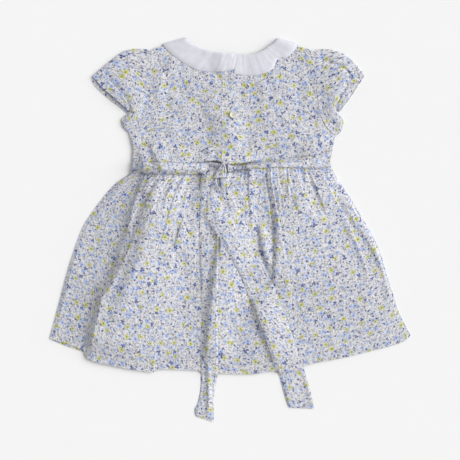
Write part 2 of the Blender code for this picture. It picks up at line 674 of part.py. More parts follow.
def make_sash(covers):
    """Sides, tails and knot, each on what it crosses."""
    def crumple(u, v, x, y):
        return SASH_CRUMPLE * (0.5 + 0.5 * cos(2 * pi * u)) * sin(pi * (0.2 + 0.8 * v))

    def rolled(u, v):
        return WALL + SASH_ROLL

    side_right = panel("sash_right", strip(path(SASH_RIGHT[1]), path(SASH_RIGHT[0])), SASH_GRID, PRINT,
                       on=covers, reach=SASH_REACH, form=crumple)
    side_left = panel("sash_left", strip(path(SASH_LEFT[1]), path(SASH_LEFT[0])), SASH_GRID, PRINT,
                      on=covers, reach=SASH_REACH, form=crumple, wall=rolled)
    tail_left = panel("sash_tail_left", strip(path(TAIL_LEFT[0]), path(TAIL_LEFT[1])), TAIL_GRID, PRINT,
                      on=covers, reach=TAIL_REACH)
    below = (*covers, tail_left)
    tail_right = panel("sash_tail_right", strip(path(TAIL_RIGHT[0]), path(TAIL_RIGHT[1])), TAIL_GRID, PRINT,
                       on=below, reach=TAIL_REACH)
    below = (*below, side_left, side_right, tail_right)

    def lobes(u, v):
        """Rounded top of the knot with the crease that parts its two lobes."""
        dome = KNOT_DOME * (sin(pi * (0.06 + 0.88 * u)) * sin(pi * (0.06 + 0.88 * v))) ** 0.55
        crease = KNOT_CREASE * exp(-((u - 0.30 - 0.45 * v) / 0.14) ** 2)
        return WALL + max(0.2, dome - crease)

    panel("sash_knot", patch(*(path(side) for side in KNOT)), KNOT_GRID, PRINT, on=below, reach=KNOT_REACH,
          wall=lobes)


def main():
    for piece in list(bpy.data.objects):
        bpy.data.objects.remove(piece)
    frill = frill_front_rows(FRILL_ACROSS)
    front, back_left, back_right = make_bodice(frill_cover(frill))
    skirt_front, skirt_back = make_skirt()
    for sleeve in SLEEVES:
        make_sleeve(sleeve)
        make_cuff(sleeve)
    backs = (back_left, back_right)
    make_collar(frill, (front, *backs))
    make_button(backs)
    make_sash((front, *backs, skirt_front, skirt_back))


main()
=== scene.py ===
"""A toddler's dress of printed cotton lawn, laid flat on a pale surface with its back up.

The sections follow the dress as it lies: the front frill and the front panels are at the bottom, the
back panels on them, then the sleeves, the back of the skirt, the collar, the stitching, the button and
the sash. Lengths are in millimetres until a mesh is made. +Y runs from the hem to the neck, +X to the
right and +Z off the surface.
"""
from collections import namedtuple
from math import pi, radians

import bpy
import numpy as np
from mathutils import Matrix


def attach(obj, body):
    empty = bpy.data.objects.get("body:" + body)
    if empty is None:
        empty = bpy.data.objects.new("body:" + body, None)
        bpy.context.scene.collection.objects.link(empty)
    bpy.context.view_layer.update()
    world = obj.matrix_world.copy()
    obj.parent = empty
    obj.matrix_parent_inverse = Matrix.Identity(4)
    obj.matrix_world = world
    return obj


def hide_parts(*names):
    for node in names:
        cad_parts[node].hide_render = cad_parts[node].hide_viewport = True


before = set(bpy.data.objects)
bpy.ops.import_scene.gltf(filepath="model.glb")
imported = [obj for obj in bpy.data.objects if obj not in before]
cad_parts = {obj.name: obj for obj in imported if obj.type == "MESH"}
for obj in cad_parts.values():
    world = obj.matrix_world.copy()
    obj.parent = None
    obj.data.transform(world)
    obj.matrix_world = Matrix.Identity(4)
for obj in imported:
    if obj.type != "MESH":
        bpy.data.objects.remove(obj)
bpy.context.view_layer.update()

MM = 0.001

# ---------------------------------------------------------------------------
# The frill, front half. A gathered strip of plain white lawn is sewn round the neck. Its front half
# lies on the surface under the front of the bodice, so its ripples are pressed nearly flat.
LAWN = 0.6              # one layer of lawn, with the hem or facing behind it
FRILL_FRONT_NECK = (
    (-61.3, 260.1), (-53, 240), (-38, 223), (-18, 213.5), (2, 211.5), (22, 213.5), (42, 223), (57.5, 240),
    (66, 259.3))
FRILL_FRONT_EDGE = (
    (-91.8, 251.8), (-85, 226), (-66, 203), (-36, 188.5), (2, 184), (40, 188.5), (70, 203), (88, 226),
    (92.3, 252.6))
FRILL_ACROSS = 16       # points across the frill
FRILL_ALONG = 190       # along its front half
FRILL_SPARE = 0.01      # share of a half's length that is left for the turn at a shoulder
CLOSE_AIR = 0.15        # under cloth that is pressed close
RIPPLES = 14
RIPPLE_HEIGHT = 0.6


def smooth(run, steps=8):
    """Points on a Catmull-Rom curve through a run of points."""
    knots = np.array([run[0], *run, run[-1]], dtype=float)
    t = np.linspace(0, 1, steps, endpoint=False)[:, None]
    spans = [0.5 * (2 * b + (c - a) * t + (2 * a - 5 * b + 4 * c - d) * t ** 2
                    + (3 * b - a - 3 * c + d) * t ** 3)
             for a, b, c, d in zip(knots, knots[1:], knots[2:], knots[3:])]
    return np.vstack([*spans, knots[-1:]])


def path(*runs):
    """A function of t, from 0 to 1 by length, along runs that meet at corners."""
    points = np.vstack([smooth(run) if len(run) > 2 else np.array(run, dtype=float) for run in runs])
    steps = np.linalg.norm(np.diff(points, axis=0), axis=1)
    points = points[np.r_[True, steps > 1e-6]]
    length = np.r_[0, np.cumsum(steps[steps > 1e-6])]

    def along(t):
        goal = np.clip(t, 0, 1) * length[-1]
        return np.stack([np.interp(goal, length, points[:, i]) for i in (0, 1)], axis=-1)
    return along


def ease(t):
    """0 to 1 with level ends."""
    t = np.clip(t, 0, 1)
    return t * t * (3 - 2 * t)


def grid(columns, rows):
    """u and v from 0 to 1 over a sheet."""
    return np.meshgrid(np.linspace(0, 1, columns), np.linspace(0, 1, rows))


def raised(xy, z):
    """Points at their heights."""
    return np.concatenate([xy, np.asarray(z)[..., None]], axis=-1)


def strip(near, far):
    """Place(u, v) straight across from one long edge to the other."""
    return lambda u, v: (1 - u[..., None]) * near(v) + u[..., None] * far(v)


# What has been laid so far, as heights on a square grid: a later piece rests on these.
CELL = 1.0
CORNER = np.array((-262.0, -280.0))
laid = np.zeros((560, 524))


def spread(heights, reach):
    """Each cell takes the highest of its neighbours within reach cells."""
    for axis in (0, 1) * reach:
        heights = np.maximum(heights, np.maximum(np.roll(heights, 1, axis), np.roll(heights, -1, axis)))
    return heights


def soften(heights, reach):
    """Averages over a square of 2 x reach + 1 cells, twice."""
    window = range(-reach, reach + 1)
    for axis in (0, 1, 0, 1):
        heights = sum(np.roll(heights, shift, axis) for shift in window) / len(window)
    return heights


def lay(points):
    """Records a piece that has been laid, so that what comes next rests on it."""
    index = np.rint((points[..., :2] - CORNER) / CELL).astype(int)
    heights = np.zeros_like(laid)
    np.maximum.at(heights, (index[..., 1], index[..., 0]), points[..., 2])
    np.maximum(laid, spread(heights, 1), out=laid)


def sampled(field, xy, corner, size, blend=lambda t: t):
    """What a square grid of numbers says at each place between its cells."""
    x, y = np.moveaxis((xy - corner) / size, -1, 0)
    i, j = np.floor(x).astype(int), np.floor(y).astype(int)
    fx, fy = blend(x - i), blend(y - j)
    return ((field[j, i] * (1 - fx) + field[j, i + 1] * fx) * (1 - fy)
            + (field[j + 1, i] * (1 - fx) + field[j + 1, i + 1] * fx) * fy)


def under(xy, reach=3, below=laid):
    """Height of what is below, bridged over hollows narrower than about twice reach, in mm."""
    return sampled(soften(spread(below, reach), max(1, reach // 2)), xy, CORNER, CELL)


t, s = grid(FRILL_ACROSS, FRILL_ALONG)
s = FRILL_SPARE + (1 - 2 * FRILL_SPARE) * s
ripple = (0.5 - 0.5 * np.cos(2 * pi * RIPPLES * s)) * ease(np.minimum(s, 1 - s) * 12)
frill_front = raised(strip(path(FRILL_FRONT_NECK), path(FRILL_FRONT_EDGE))(t, s),
                     LAWN + CLOSE_AIR + RIPPLE_HEIGHT * t * ripple)
lay(frill_front)

# ---------------------------------------------------------------------------
# Front of the bodice. One panel of printed lawn, cut with a round neck, that lies on the surface and
# on the front frill. It is sewn to the backs at the sides and shoulders.
WAIST = (
    (-132.3, 79.5), (-118, 80.4), (-95, 81.2), (-50, 81.6), (0, 82.3), (50, 84.2), (95, 86.5), (135.4, 89))
LEFT_SIDE = ((-132.3, 79.5), (-131.6, 97), (-131.3, 111), (-136, 131.5))
RIGHT_SIDE = ((135.4, 89), (136.6, 98.7), (139.5, 112.5), (142.2, 126.2))
LEFT_ARMHOLE = (
    (-136, 131.5), (-128.8, 136), (-119.7, 145), (-112.1, 157), (-108.2, 182), (-107.8, 216), (-106.1, 243))
RIGHT_ARMHOLE = (
    (142.2, 126.2), (135.5, 132.5), (127, 143.5), (121, 160), (117.5, 190), (116.2, 220), (114.4, 241.5))
LEFT_SHOULDER = ((-106.1, 243), (-98, 246.2), (-92.5, 247.4), (-86, 248.2), (-60.5, 254.6))
RIGHT_SHOULDER = ((64.5, 253.8), (86, 248.6), (93, 247.6), (99, 246.2), (114.4, 241.5))
FRONT_NECK = (
    (-60.5, 254.6), (-53, 236), (-38, 219), (-18, 210), (2, 208), (22, 210), (42, 219), (57, 236),
    (64.5, 253.8))
AIR = 0.1               # under the front panels, the collar and the sash
GAP = 0.3               # air between a piece and what it lies on
PRESSED = 0.2           # share of its thickness that a sheet has at a pressed edge
FRONT_WAVINESS = 0.3
WAVER_CORNER = -300     # X and Y where every waviness starts, outside the dress


def patch(low, high, left, right):
    """Coons patch: place(u, v) inside four paths that share their corners."""
    def place(u, v):
        a, b = u[..., None], v[..., None]
        return ((1 - b) * low(u) + b * high(u) + (1 - a) * left(v) + a * right(v)
                - (1 - a) * (1 - b) * low(0) - a * (1 - b) * low(1)
                - (1 - a) * b * high(0) - a * b * high(1))
    return place


def waver(xy, size, seed):
    """Soft uneven height between -1 and 1, with hollows and rises about size mm across."""
    lattice = np.random.default_rng(seed).uniform(-1, 1, (80, 80))
    return sampled(lattice, xy, WAVER_CORNER, size, ease)


def linear(code, alpha=1.0):
    """An sRGB hex colour as linear numbers."""
    parts = [int(code[i:i + 2], 16) / 255 for i in (1, 3, 5)]
    return (*(c / 12.92 if c <= 0.04045 else ((c + 0.055) / 1.055) ** 2.4 for c in parts), alpha)


def add(tree, kind, links=(), **settings):
    """Adds a node and gives its outputs. settings are its own, links its sockets' values or sources."""
    node = tree.nodes.new("ShaderNode" + kind)
    for name, value in settings.items():
        setattr(node, name, value)
    for socket, source in dict(links).items():
        if isinstance(source, bpy.types.NodeSocket):
            tree.links.new(source, node.inputs[socket])
        else:
            node.inputs[socket].default_value = source
    return node.outputs


def new_finish(name, **sockets):
    """A material, its node tree and its shader, with the shader's own sockets set."""
    material = bpy.data.materials.new(name)
    material.use_nodes = True
    shader = material.node_tree.nodes["Principled BSDF"]
    for socket, value in sockets.items():
        shader.inputs[socket.replace("_", " ")].default_value = value
    return material, material.node_tree, shader


# Printed cotton lawn: a fine plain weave, matte, with a small screen print of loose flowers over
# thin grey-brown twigs. To the eye it is a pale lavender ground, evenly flecked, with no shine.
# Motif: mm between flowers and share of the places taken, petals and their distance from the middle,
# half length and half width, then the petals' two colours, their cores' and the heart's, and its radius.
Motif = namedtuple("Motif", "spacing share petals reach length width colours core heart heart_radius")
MOTIFS = (
    Motif(3.9, 0.80, 2, 0.72, 0.70, 0.45, ("#958D78", "#9290A0"), None, None, 0),
    Motif(6.4, 0.75, 3, 0.62, 0.75, 0.60, ("#8389A8", "#9C978C"), None, None, 0),
    Motif(8.6, 0.45, 3, 0.90, 1.00, 0.85, ("#A2AFD2", "#B3BDDB"), None, None, 0),
    Motif(9.2, 0.75, 2, 0.50, 1.10, 1.00, ("#4F5B8E", "#6B76A3"), None, None, 0),
    Motif(12.5, 0.60, 5, 1.70, 1.25, 1.00, ("#93A8D6", "#A9B8DE"), "#BAC7E4", "#6478B0", 0.85),
    Motif(26.0, 0.80, 3, 1.60, 1.20, 1.20, ("#47528A", "#556098"), None, "#7680AD", 0.80),
    Motif(19.5, 0.68, 5, 2.20, 1.55, 1.00, ("#BDBD62", "#C7C678"), "#D3D28E", "#93934A", 1.10),
)
GROUND = ("#CCD2E1", "#E0DEDD")
TWIG = ("#8B846D", "#857F8F")
MOTIF_SHIFT = (0.137, 0.071)    # metres from one kind's lattice to the next one's
MOTTLE_SIZE = 6.0       # of the ground's bluer and greyer patches
TWIG_SIZE = 3.7         # from twig to twig
STROKE_SIZE = 2.9       # of the strokes that a twig is broken up into
THREAD = 0.45           # spacing of the weave's threads; a real one is 0.25, too fine to show
THREAD_RELIEF = 0.1
WAVES = 20              # Blender's wave texture repeats this often for each unit of its scale


def print_motif(tree, place, colour, motif):
    """Adds one kind of flower: a ring of oval petals in a share of the cells of a loose lattice."""
    cells = add(tree, "TexVoronoi", {"Vector": place, "Scale": 1000 / motif.spacing, "Randomness": 0.9},
                voronoi_dimensions="2D")
    chance = add(tree, "SeparateColor", {"Color": cells["Color"]})
    offset = add(tree, "VectorMath", {0: place, 1: cells["Position"]}, operation="SUBTRACT")[0]
    size = add(tree, "MapRange", {0: chance[2], 3: 1250.0, 4: 850.0})[0]    # metres to mm, unevenly
    scaled = add(tree, "VectorMath", {0: offset, 3: size}, operation="SCALE")[0]
    axes = add(tree, "SeparateXYZ", {0: scaled})
    distance = add(tree, "VectorMath", {0: scaled}, operation="LENGTH")["Value"]
    angle = add(tree, "Math", {0: axes[1], 1: axes[0]}, operation="ARCTAN2")[0]
    turned = add(tree, "Math", {0: chance[0], 1: 2 * pi, 2: angle}, operation="MULTIPLY_ADD")[0]
    fold = add(tree, "Math", {0: turned, 1: pi / motif.petals}, operation="PINGPONG")[0]
    outward, aside = (
        add(tree, "Math", {0: distance, 1: add(tree, "Math", {0: fold}, operation=part)[0]},
            operation="MULTIPLY")[0] for part in ("COSINE", "SINE"))
    spot = add(tree, "CombineXYZ", {0: outward, 1: aside})[0]
    oval = add(tree, "VectorMath", {0: spot, 1: (1 / motif.length, 1 / motif.width, 0),
                                    2: (-motif.reach / motif.length, 0, 0)}, operation="MULTIPLY_ADD")[0]
    within = add(tree, "VectorMath", {0: oval}, operation="LENGTH")["Value"]
    kept = add(tree, "Math", {0: chance[1], 1: motif.share}, operation="LESS_THAN")[0]

    def painted(base, measure, edge, fade, ink):
        mask = add(tree, "MapRange", {0: measure, 1: edge + fade, 2: edge - fade, 4: kept})[0]
        return add(tree, "Mix", {0: mask, 6: base, 7: ink}, data_type="RGBA")[2]

    one, other = (linear(shade) for shade in motif.colours)
    ink = add(tree, "Mix", {0: chance[0], 6: one, 7: other}, data_type="RGBA")[2]
    colour = painted(colour, within, 1.0, 0.15, ink)
    if motif.core:
        colour = painted(colour, within, 0.45, 0.2, linear(motif.core))
    if motif.heart:
        colour = painted(colour, distance, motif.heart_radius, 0.2, linear(motif.heart))
    return colour


def woven(tree, shader, place, strength):
    """Threads that pass over and under each other, as bump."""
    warp, weft = (add(tree, "TexWave", {"Vector": place, "Scale": 1000 / THREAD / WAVES},
                      bands_direction=direction)[1] for direction in "XY")
    threads = add(tree, "Math", {0: warp, 1: weft}, operation="MULTIPLY")[0]
    bump = add(tree, "Bump", {"Height": threads, "Strength": strength, "Distance": THREAD_RELIEF * MM})
    tree.links.new(bump[0], shader.inputs["Normal"])


def printed_lawn():
    """The twigs are thin lines round a wandering height map, broken up into short strokes."""
    material, tree, shader = new_finish("Printed cotton lawn", Roughness=0.85, IOR=1.5, Sheen_Weight=0.08,
                                        Sheen_Roughness=0.5, Specular_IOR_Level=0.25)
    place = add(tree, "UVMap")[0]
    mottle, wander, breaks = (
        add(tree, "TexNoise", {"Vector": place, "Scale": 1000 / size, "Detail": detail},
            noise_dimensions="2D")[0]
        for size, detail in ((MOTTLE_SIZE, 2.0), (TWIG_SIZE, 1.0), (STROKE_SIZE, 0.0)))
    mottle = add(tree, "MapRange", {0: mottle, 1: 0.36, 2: 0.64})[0]
    ground, ink = (add(tree, "Mix", {0: mottle, 6: linear(one), 7: linear(other)}, data_type="RGBA")[2]
                   for one, other in (GROUND, TWIG))
    level = add(tree, "Math", {0: wander, 1: 0.5}, operation="SUBTRACT")[0]
    line = add(tree, "Math", {0: level}, operation="ABSOLUTE")[0]
    stroke = add(tree, "MapRange", {0: line, 1: 0.065, 2: 0.025})[0]
    broken = add(tree, "MapRange", {0: breaks, 1: 0.38, 2: 0.50, 4: 0.78})[0]
    twig = add(tree, "Math", {0: stroke, 1: broken}, operation="MULTIPLY")[0]
    colour = add(tree, "Mix", {0: twig, 6: ground, 7: ink}, data_type="RGBA")[2]
    for number, motif in enumerate(MOTIFS):
        moved = add(tree, "VectorMath", {0: place, 1: (MOTIF_SHIFT[0] * number, MOTIF_SHIFT[1] * number, 0)},
                    operation="ADD")[0]
        colour = print_motif(tree, moved, colour, motif)
    tree.links.new(colour, shader.inputs["Base Color"])
    woven(tree, shader, place, 0.25)
    return material


PRINTED_LAWN = printed_lawn()


def flat_places(points, wrap):
    """Where each point is on the flat cloth, in mm: along its row from the middle, and up its column."""
    if wrap:
        points = np.concatenate([points, points[:, :1]], axis=1)
    along = np.linalg.norm(np.diff(points, axis=1), axis=2)
    along = np.concatenate([np.zeros((len(points), 1)), np.cumsum(along, axis=1)], axis=1)
    along -= along[:, along.shape[1] // 2][:, None]
    rising = np.linalg.norm(np.diff(points, axis=0), axis=2).mean(axis=1)
    rising = np.r_[0, np.cumsum(rising)][:, None] + np.zeros_like(along)
    return np.stack([along, rising], axis=-1)


def new_piece(name, vertices, faces, material):
    """A mesh of points in mm, as an object in the scene."""
    mesh = bpy.data.meshes.new(name)
    mesh.from_pydata((np.reshape(vertices, (-1, 3)) * MM).tolist(), [], faces)
    mesh.shade_smooth()
    mesh.materials.append(material)
    piece = bpy.data.objects.new(name, mesh)
    bpy.context.scene.collection.objects.link(piece)
    return piece


def cloth(node, points, offset=(0.0, 0.0), thickness=LAWN, wrap=False,
          fullness=None, name=None, material=PRINTED_LAWN):
    """A sheet of cloth whose outer side is a grid of points; offset moves the print on it.

    fullness is 1 where the sheet has its whole thickness and 0 at an edge that is pressed thin.
    """
    rows, columns = points.shape[:2]
    index = np.arange(rows * columns).reshape(rows, columns)
    around = np.concatenate([index, index[:, :1]], axis=1) if wrap else index
    faces = np.stack([around[:-1, :-1], around[:-1, 1:], around[1:, 1:], around[1:, :-1]], axis=-1)
    piece = new_piece(name or node + "_lawn", points, faces.reshape(-1, 4).tolist(), material)
    mesh = piece.data
    flat_at = (flat_places(points, wrap) + offset) * MM
    corners = np.stack([flat_at[:-1, :-1], flat_at[:-1, 1:], flat_at[1:, 1:], flat_at[1:, :-1]], axis=-2)
    mesh.uv_layers.new(name="cut").data.foreach_set("uv", corners.ravel())
    # Sharp borders, so that the turn to the thin side of the sheet doesn't round off its shading.
    border = np.zeros((rows, columns), dtype=bool)
    border[[0, -1]] = True
    border[:, [0, -1]] |= not wrap
    ends = np.empty(2 * len(mesh.edges), dtype=np.int32)
    mesh.edges.foreach_get("vertices", ends)
    sharp = mesh.attributes.new("sharp_edge", "BOOLEAN", "EDGE")
    sharp.data.foreach_set("value", border.ravel()[ends.reshape(-1, 2)].all(axis=1))
    wall = piece.modifiers.new("Wall", "SOLIDIFY")
    wall.thickness = thickness * MM
    wall.offset = -1.0
    if fullness is not None:
        pressed = piece.vertex_groups.new(name="Fullness")
        steps = np.rint(np.clip(fullness, 0, 1).ravel() * 20) / 20
        for weight in np.unique(steps):
            pressed.add(np.flatnonzero(steps == weight).tolist(), float(weight), "REPLACE")
        wall.vertex_group = pressed.name
        wall.thickness_vertex_group = PRESSED
    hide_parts(node)
    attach(piece, "root")


bodice_waist = path(WAIST)
left_side, right_side = path(LEFT_SIDE, LEFT_ARMHOLE), path(RIGHT_SIDE, RIGHT_ARMHOLE)
u, v = grid(110, 74)
xy = patch(bodice_waist, path(LEFT_SHOULDER, FRONT_NECK, RIGHT_SHOULDER), left_side, right_side)(u, v)
z = np.maximum(LAWN + AIR, under(xy, 4) + GAP + LAWN)
z += FRONT_WAVINESS * (1 + waver(xy, 26, 3)) * ease(np.minimum(u, 1 - u) * 20)
bodice_front = raised(xy, z)
cloth("bodice_front", bodice_front)
lay(bodice_front)

# ---------------------------------------------------------------------------
# Front of the skirt. An A-line panel of the printed lawn, gathered into the waist seam. It lies flat
# on the surface, and its gathers show only near the waist.
SEAM = 0.6              # the two sides of a seam lie this far apart
SKIRT_LEFT = (
    (-132.3, 79.5), (-140.3, 72.8), (-152.7, 64.5), (-165, 52), (-176, 38), (-187, 23), (-196.7, 8),
    (-204.5, -10), (-214.7, -39), (-223, -67), (-231, -98), (-244.2, -147))
SKIRT_RIGHT = (
    (135.4, 89), (141.5, 76), (153, 58.5), (165, 39.5), (175.5, 22), (185.4, 6), (195.6, -13), (203, -29),
    (210, -53), (222, -91), (228, -110), (244.4, -142.3))
FRONT_HEM = (
    (-244.2, -147), (-228.4, -153.8), (-212, -160), (-195.3, -165.4), (-160, -179), (-118, -187),
    (-70, -186.5), (-16, -190), (32, -191.5), (63, -187), (118, -176.5), (172, -165.5), (216, -154.5),
    (234, -149), (244.4, -142.3))
FRONT_GATHERS = 24
FRONT_GATHER_HEIGHT = 0.9


def shifted(run, dx, dy):
    """A run of points, moved."""
    return tuple((x + dx, y + dy) for x, y in run)


skirt_left, skirt_right, waist = (path(shifted(run, 0, -SEAM)) for run in (SKIRT_LEFT, SKIRT_RIGHT, WAIST))


def skirt_place(*hem):
    """Place(u, v) on a skirt panel that ends at this hem."""
    return patch(path(*(shifted(run, 0, -SEAM) for run in hem)), waist, lambda v: skirt_left(1 - v),
                 lambda v: skirt_right(1 - v))


u, v = grid(240, 64)
xy = skirt_place(FRONT_HEM)(u, v)
ridges = 0.5 + 0.5 * np.cos(2 * pi * FRONT_GATHERS * u + 2.2 * np.sin(9 * u))
gathers = FRONT_GATHER_HEIGHT * ridges * ease((xy[..., 1] + 30) / 110)
inside = ease(np.minimum(u, 1 - u) * 25)
skirt_front = raised(xy, LAWN + AIR + inside * (0.3 + gathers + 0.12 * waver(xy, 30, 5)))
cloth("skirt_front", skirt_front, offset=(63, 41))
lay(skirt_front)

# ---------------------------------------------------------------------------
# Backs of the bodice. Two panels of the printed lawn, faced at the centre, where the right one laps
# over the left and buttons. They are sewn to the front at the sides and shoulders.
BACK_LEVEL = 3.05       # outer side of the back where it lies plainly on the front
BACK_WIDTH = 150        # of each panel, from the side seam to the edge of the lap
BACK_LENGTH = 170       # from the waist to the shoulder
CENTRE_BACK = 5.0       # X of the middle of the lap
LAP = 32.0
LAP_SINK = 0.7          # the lapped layer is pressed in by this much
LAP_EDGE = 5            # width of the lap's pressed edge
BLOUSE = 1.2            # the backs stand this much higher above the sash
BLOUSE_MIDDLE = 112     # Y where they stand highest
BLOUSE_REACH = 34       # and how far above and below that they do
SEAM_DROP = 0.5         # cloth curves down by this much at a seam
SEAM_REACH = 3.0
AT_NECK = 9             # added to the distance to a shoulder seam: the panel doesn't dip at its neck
NECK_ENDS = (-62, 66)   # X of the ends of the neck, at the shoulder seams
BACK_NECK = (
    (-60.5, 254.6), (-52.5, 249.4), (-42, 244), (-28, 239.5), (-11, 236.7), (7, 235.2), (25, 235),
    (36, 236.5), (46, 240.5), (55, 246.4), (64.5, 253.8))
# Each fold is rows of x, y, its width to the left, its width to the right and its height.
# Left and right are those of a fold that runs down; one that runs right has left below it.
BODICE_SWELLS = (
    ((-132, 86, 8, 14, 0), (-118, 87, 9, 22, 3.2), (-92, 88, 9, 26, 4.0), (-64, 89, 9, 26, 4.2),
     (-44, 91, 9, 24, 3.4), (-30, 93, 9, 24, 1.5), (-20, 94, 8, 20, 0)),
    ((22, 114, 12, 34, 0), (44, 118, 16, 40, 2.8), (76, 120, 17, 44, 3.8), (106, 122, 17, 40, 4.0),
     (134, 124, 14, 30, 1.6)),
    ((-28, 198, 22, 40, 0), (-21, 172, 24, 44, 2.2), (-11, 147, 28, 44, 3.6), (-5, 127, 34, 40, 4.6),
     (0, 112, 40, 44, 4.8), (6, 99, 44, 46, 4.4), (10, 89, 44, 44, 3.0)),
    ((-80, 128, 12, 12, 0), (-74, 112, 14, 14, 0.6), (-70, 98, 14, 14, 0.6), (-68, 88, 12, 12, 0)),
    ((86, 136, 10, 12, 0), (92, 160, 12, 14, -0.8), (92, 190, 12, 14, -0.7), (88, 214, 10, 12, 0)),
    ((-84, 140, 12, 9, 0), (-86, 165, 14, 10, -1.0), (-84, 195, 14, 10, -1.0), (-80, 214, 12, 9, 0)),
    ((-62, 206, 10, 10, 0), (-58, 186, 12, 12, 0.8), (-60, 160, 12, 12, 0.8), (-66, 138, 10, 10, 0)),
    ((36, 214, 9, 12, 0), (44, 190, 11, 14, 1.0), (46, 160, 11, 14, 0.9), (40, 138, 9, 12, 0)),
    ((-34, 214, 10, 10, 0), (-22, 206, 12, 10, -1.6), (-8, 203, 12, 10, -1.6), (4, 204, 9, 8, 0)),
    ((2, 224, 34, 16, 1.6), (1, 208, 36, 18, 2.1), (-4, 190, 30, 18, 1.3), (-10, 176, 20, 14, 0)),
    ((-76, 118, 18, 60, 0), (-82, 104, 24, 60, 2.0), (-84, 90, 24, 60, 2.0)),
)
BODICE_CREASES = (
    ((-46, 91.5, 3, 16, 0), (-36, 92, 5, 20, 2.4), (-26, 92.6, 7, 22, 3.6), (-17, 92, 7, 22, 4.0),
     (-10, 90, 6, 20, 3.8), (-2, 89, 4, 20, 3.4), (6, 88.6, 3, 20, 3.0), (20, 90.8, 2.4, 20, 3.2),
     (30, 92.3, 2.4, 20, 2.8), (38, 94.4, 2.4, 20, 1.4), (50, 97, 3, 18, 0)),
    ((-110, 119, 5, 22, 0), (-106, 110, 9, 26, 2.8), (-100, 99, 10, 28, 3.8), (-94.5, 90, 8, 24, 2.6)),
    ((-130, 111, 4, 16, 0), (-125.6, 104, 5, 18, 1.6), (-120, 97, 6, 16, 1.8), (-115, 91, 4, 14, 0.6)),
    ((-37, 108, 2, 10, 0), (-32, 105.4, 2.5, 12, 1.5), (-27, 102.4, 2.5, 12, 1.5), (-22, 100, 2, 10, 0)),
    ((88, 99, 3, 16, 0), (104, 100, 4, 18, 2.0), (118, 103, 4, 18, 2.4), (129, 109, 4, 14, 1.6)),
)
# Narrow slots, where the bodice droops over the sash beside the knot.
BODICE_SLOTS = (
    ((-37, 91, 0.8, 0.8, 0), (-33, 91.2, 1.3, 1.3, -4.0), (-23, 91.8, 1.7, 1.6, -7.5),
     (-17.6, 91.5, 2.0, 1.8, -8.0), (-11.8, 88.8, 1.8, 1.6, -7.0), (-9.6, 87.6, 1.0, 0.8, 0)),
    ((7, 86.6, 0.8, 0.8, 0), (9.5, 87, 1.4, 1.3, -6.0), (20, 88.6, 1.5, 1.4, -7.0),
     (29.7, 90, 1.3, 1.2, -6.0), (37, 91.6, 0.8, 0.8, 0)),
    ((-36.5, 107.6, 0.8, 0.8, 0), (-32, 105, 1.2, 1.2, -1.6), (-27, 102.4, 1.2, 1.2, -1.6),
     (-24, 100.8, 0.8, 0.8, 0)),
)
PROFILES = {
    "soft": lambda x: 0.5 + 0.5 * np.cos(pi * x),
    "crest": lambda x: (1 - x) ** 2,        # crisp at its top, where a fold turns over
    "foot": lambda x: 1 - x * x,            # crisp at its foot, where a fold comes out from under another
    "pit": lambda x: 1 - x ** 6,            # a level floor between steep sides
}


def fold_heights(folds, xy, profile="soft", wide="soft"):
    """The sum of the folds at each place. profile is that of a fold's narrower flank, wide the other's."""
    total = np.zeros(xy.shape[:-1])
    for fold in folds:
        rows = smooth(fold, 4)
        nearest = np.full(total.shape, np.inf)
        height = np.zeros(total.shape)
        for (start, end) in zip(rows, rows[1:]):
            run = end[:2] - start[:2]
            away = xy - start[:2]
            t = np.clip((away @ run) / (run @ run), 0, 1)
            gap = away - t[..., None] * run
            distance = np.hypot(gap[..., 0], gap[..., 1])
            side = run[0] * away[..., 1] - run[1] * away[..., 0] > 0
            left, right = (start[i] + t * (end[i] - start[i]) for i in (2, 3))
            part = np.minimum(distance / np.where(side, right, left), 1)
            narrow = np.where(side, right < left, left <= right)
            shape = np.where(narrow, PROFILES[profile](part), PROFILES[wide](part))
            here = (start[4] + t * (end[4] - start[4])) * shape
            closer = distance < nearest
            nearest = np.where(closer, distance, nearest)
            height = np.where(closer, here, height)
        total += height
    return total


def seam_dip(distance):
    """How far cloth curves down to a seam with the layer below it."""
    return SEAM_DROP * (1 - np.clip(distance / SEAM_REACH, 0, 1)) ** 2


front_laid = laid.copy()


def bodice_back(xy, to_side, to_shoulder):
    """Heights of a back panel: a little bloused above the sash, down to its side and shoulder seams."""
    x, y = xy[..., 0], xy[..., 1]
    blouse = BLOUSE * np.clip(1 - abs(y - BLOUSE_MIDDLE) / BLOUSE_REACH, 0, 1) * ease((136 - abs(x)) / 30)
    relief = (fold_heights(BODICE_SWELLS, xy) + fold_heights(BODICE_CREASES, xy, "crest")
              + fold_heights(BODICE_SLOTS, xy)
              + 0.35 * waver(xy, 9, 13) + 0.7 * waver(xy, 17, 11) + 0.8 * waver(xy, 41, 12))
    # At the armhole, where the sleeve goes on, the panel hardly dips.
    to_side = to_side + 3.0 * ease((y - 128) / 10)
    relief *= 0.3 + 0.7 * ease(to_side / 16)        # the side seam holds the cloth flat
    front = under(xy, 4, front_laid) + GAP + LAWN
    # A crease goes no deeper than the front, which the panel lies on.
    level = np.maximum(np.maximum(BACK_LEVEL, front) + blouse + 0.3 + relief, front - 0.3)
    return level - seam_dip(to_side) - seam_dip(to_shoulder)


def stretch(curve, start, end):
    """A stretch of a path, as a path of its own."""
    return path(curve(np.linspace(start, end, 30)))


def cut(x):
    """Where the neck and the waist, which run left to right, reach x; and the edge from one to the other."""
    t = np.linspace(0, 1, 2001)
    neck_at, waist_at = (float(np.interp(x, curve(t)[:, 0], t)) for curve in (neck, bodice_waist))
    return neck_at, waist_at, path((bodice_waist(waist_at), neck(neck_at)))


neck = path(BACK_NECK)
under_lap, lap_edge = CENTRE_BACK + LAP / 2, CENTRE_BACK - LAP / 2
u, v = grid(130, 200)
v = np.interp(v, (0, 0.45, 1), (0, 0.2, 1))     # closer rows above the sash, where the creases are finest

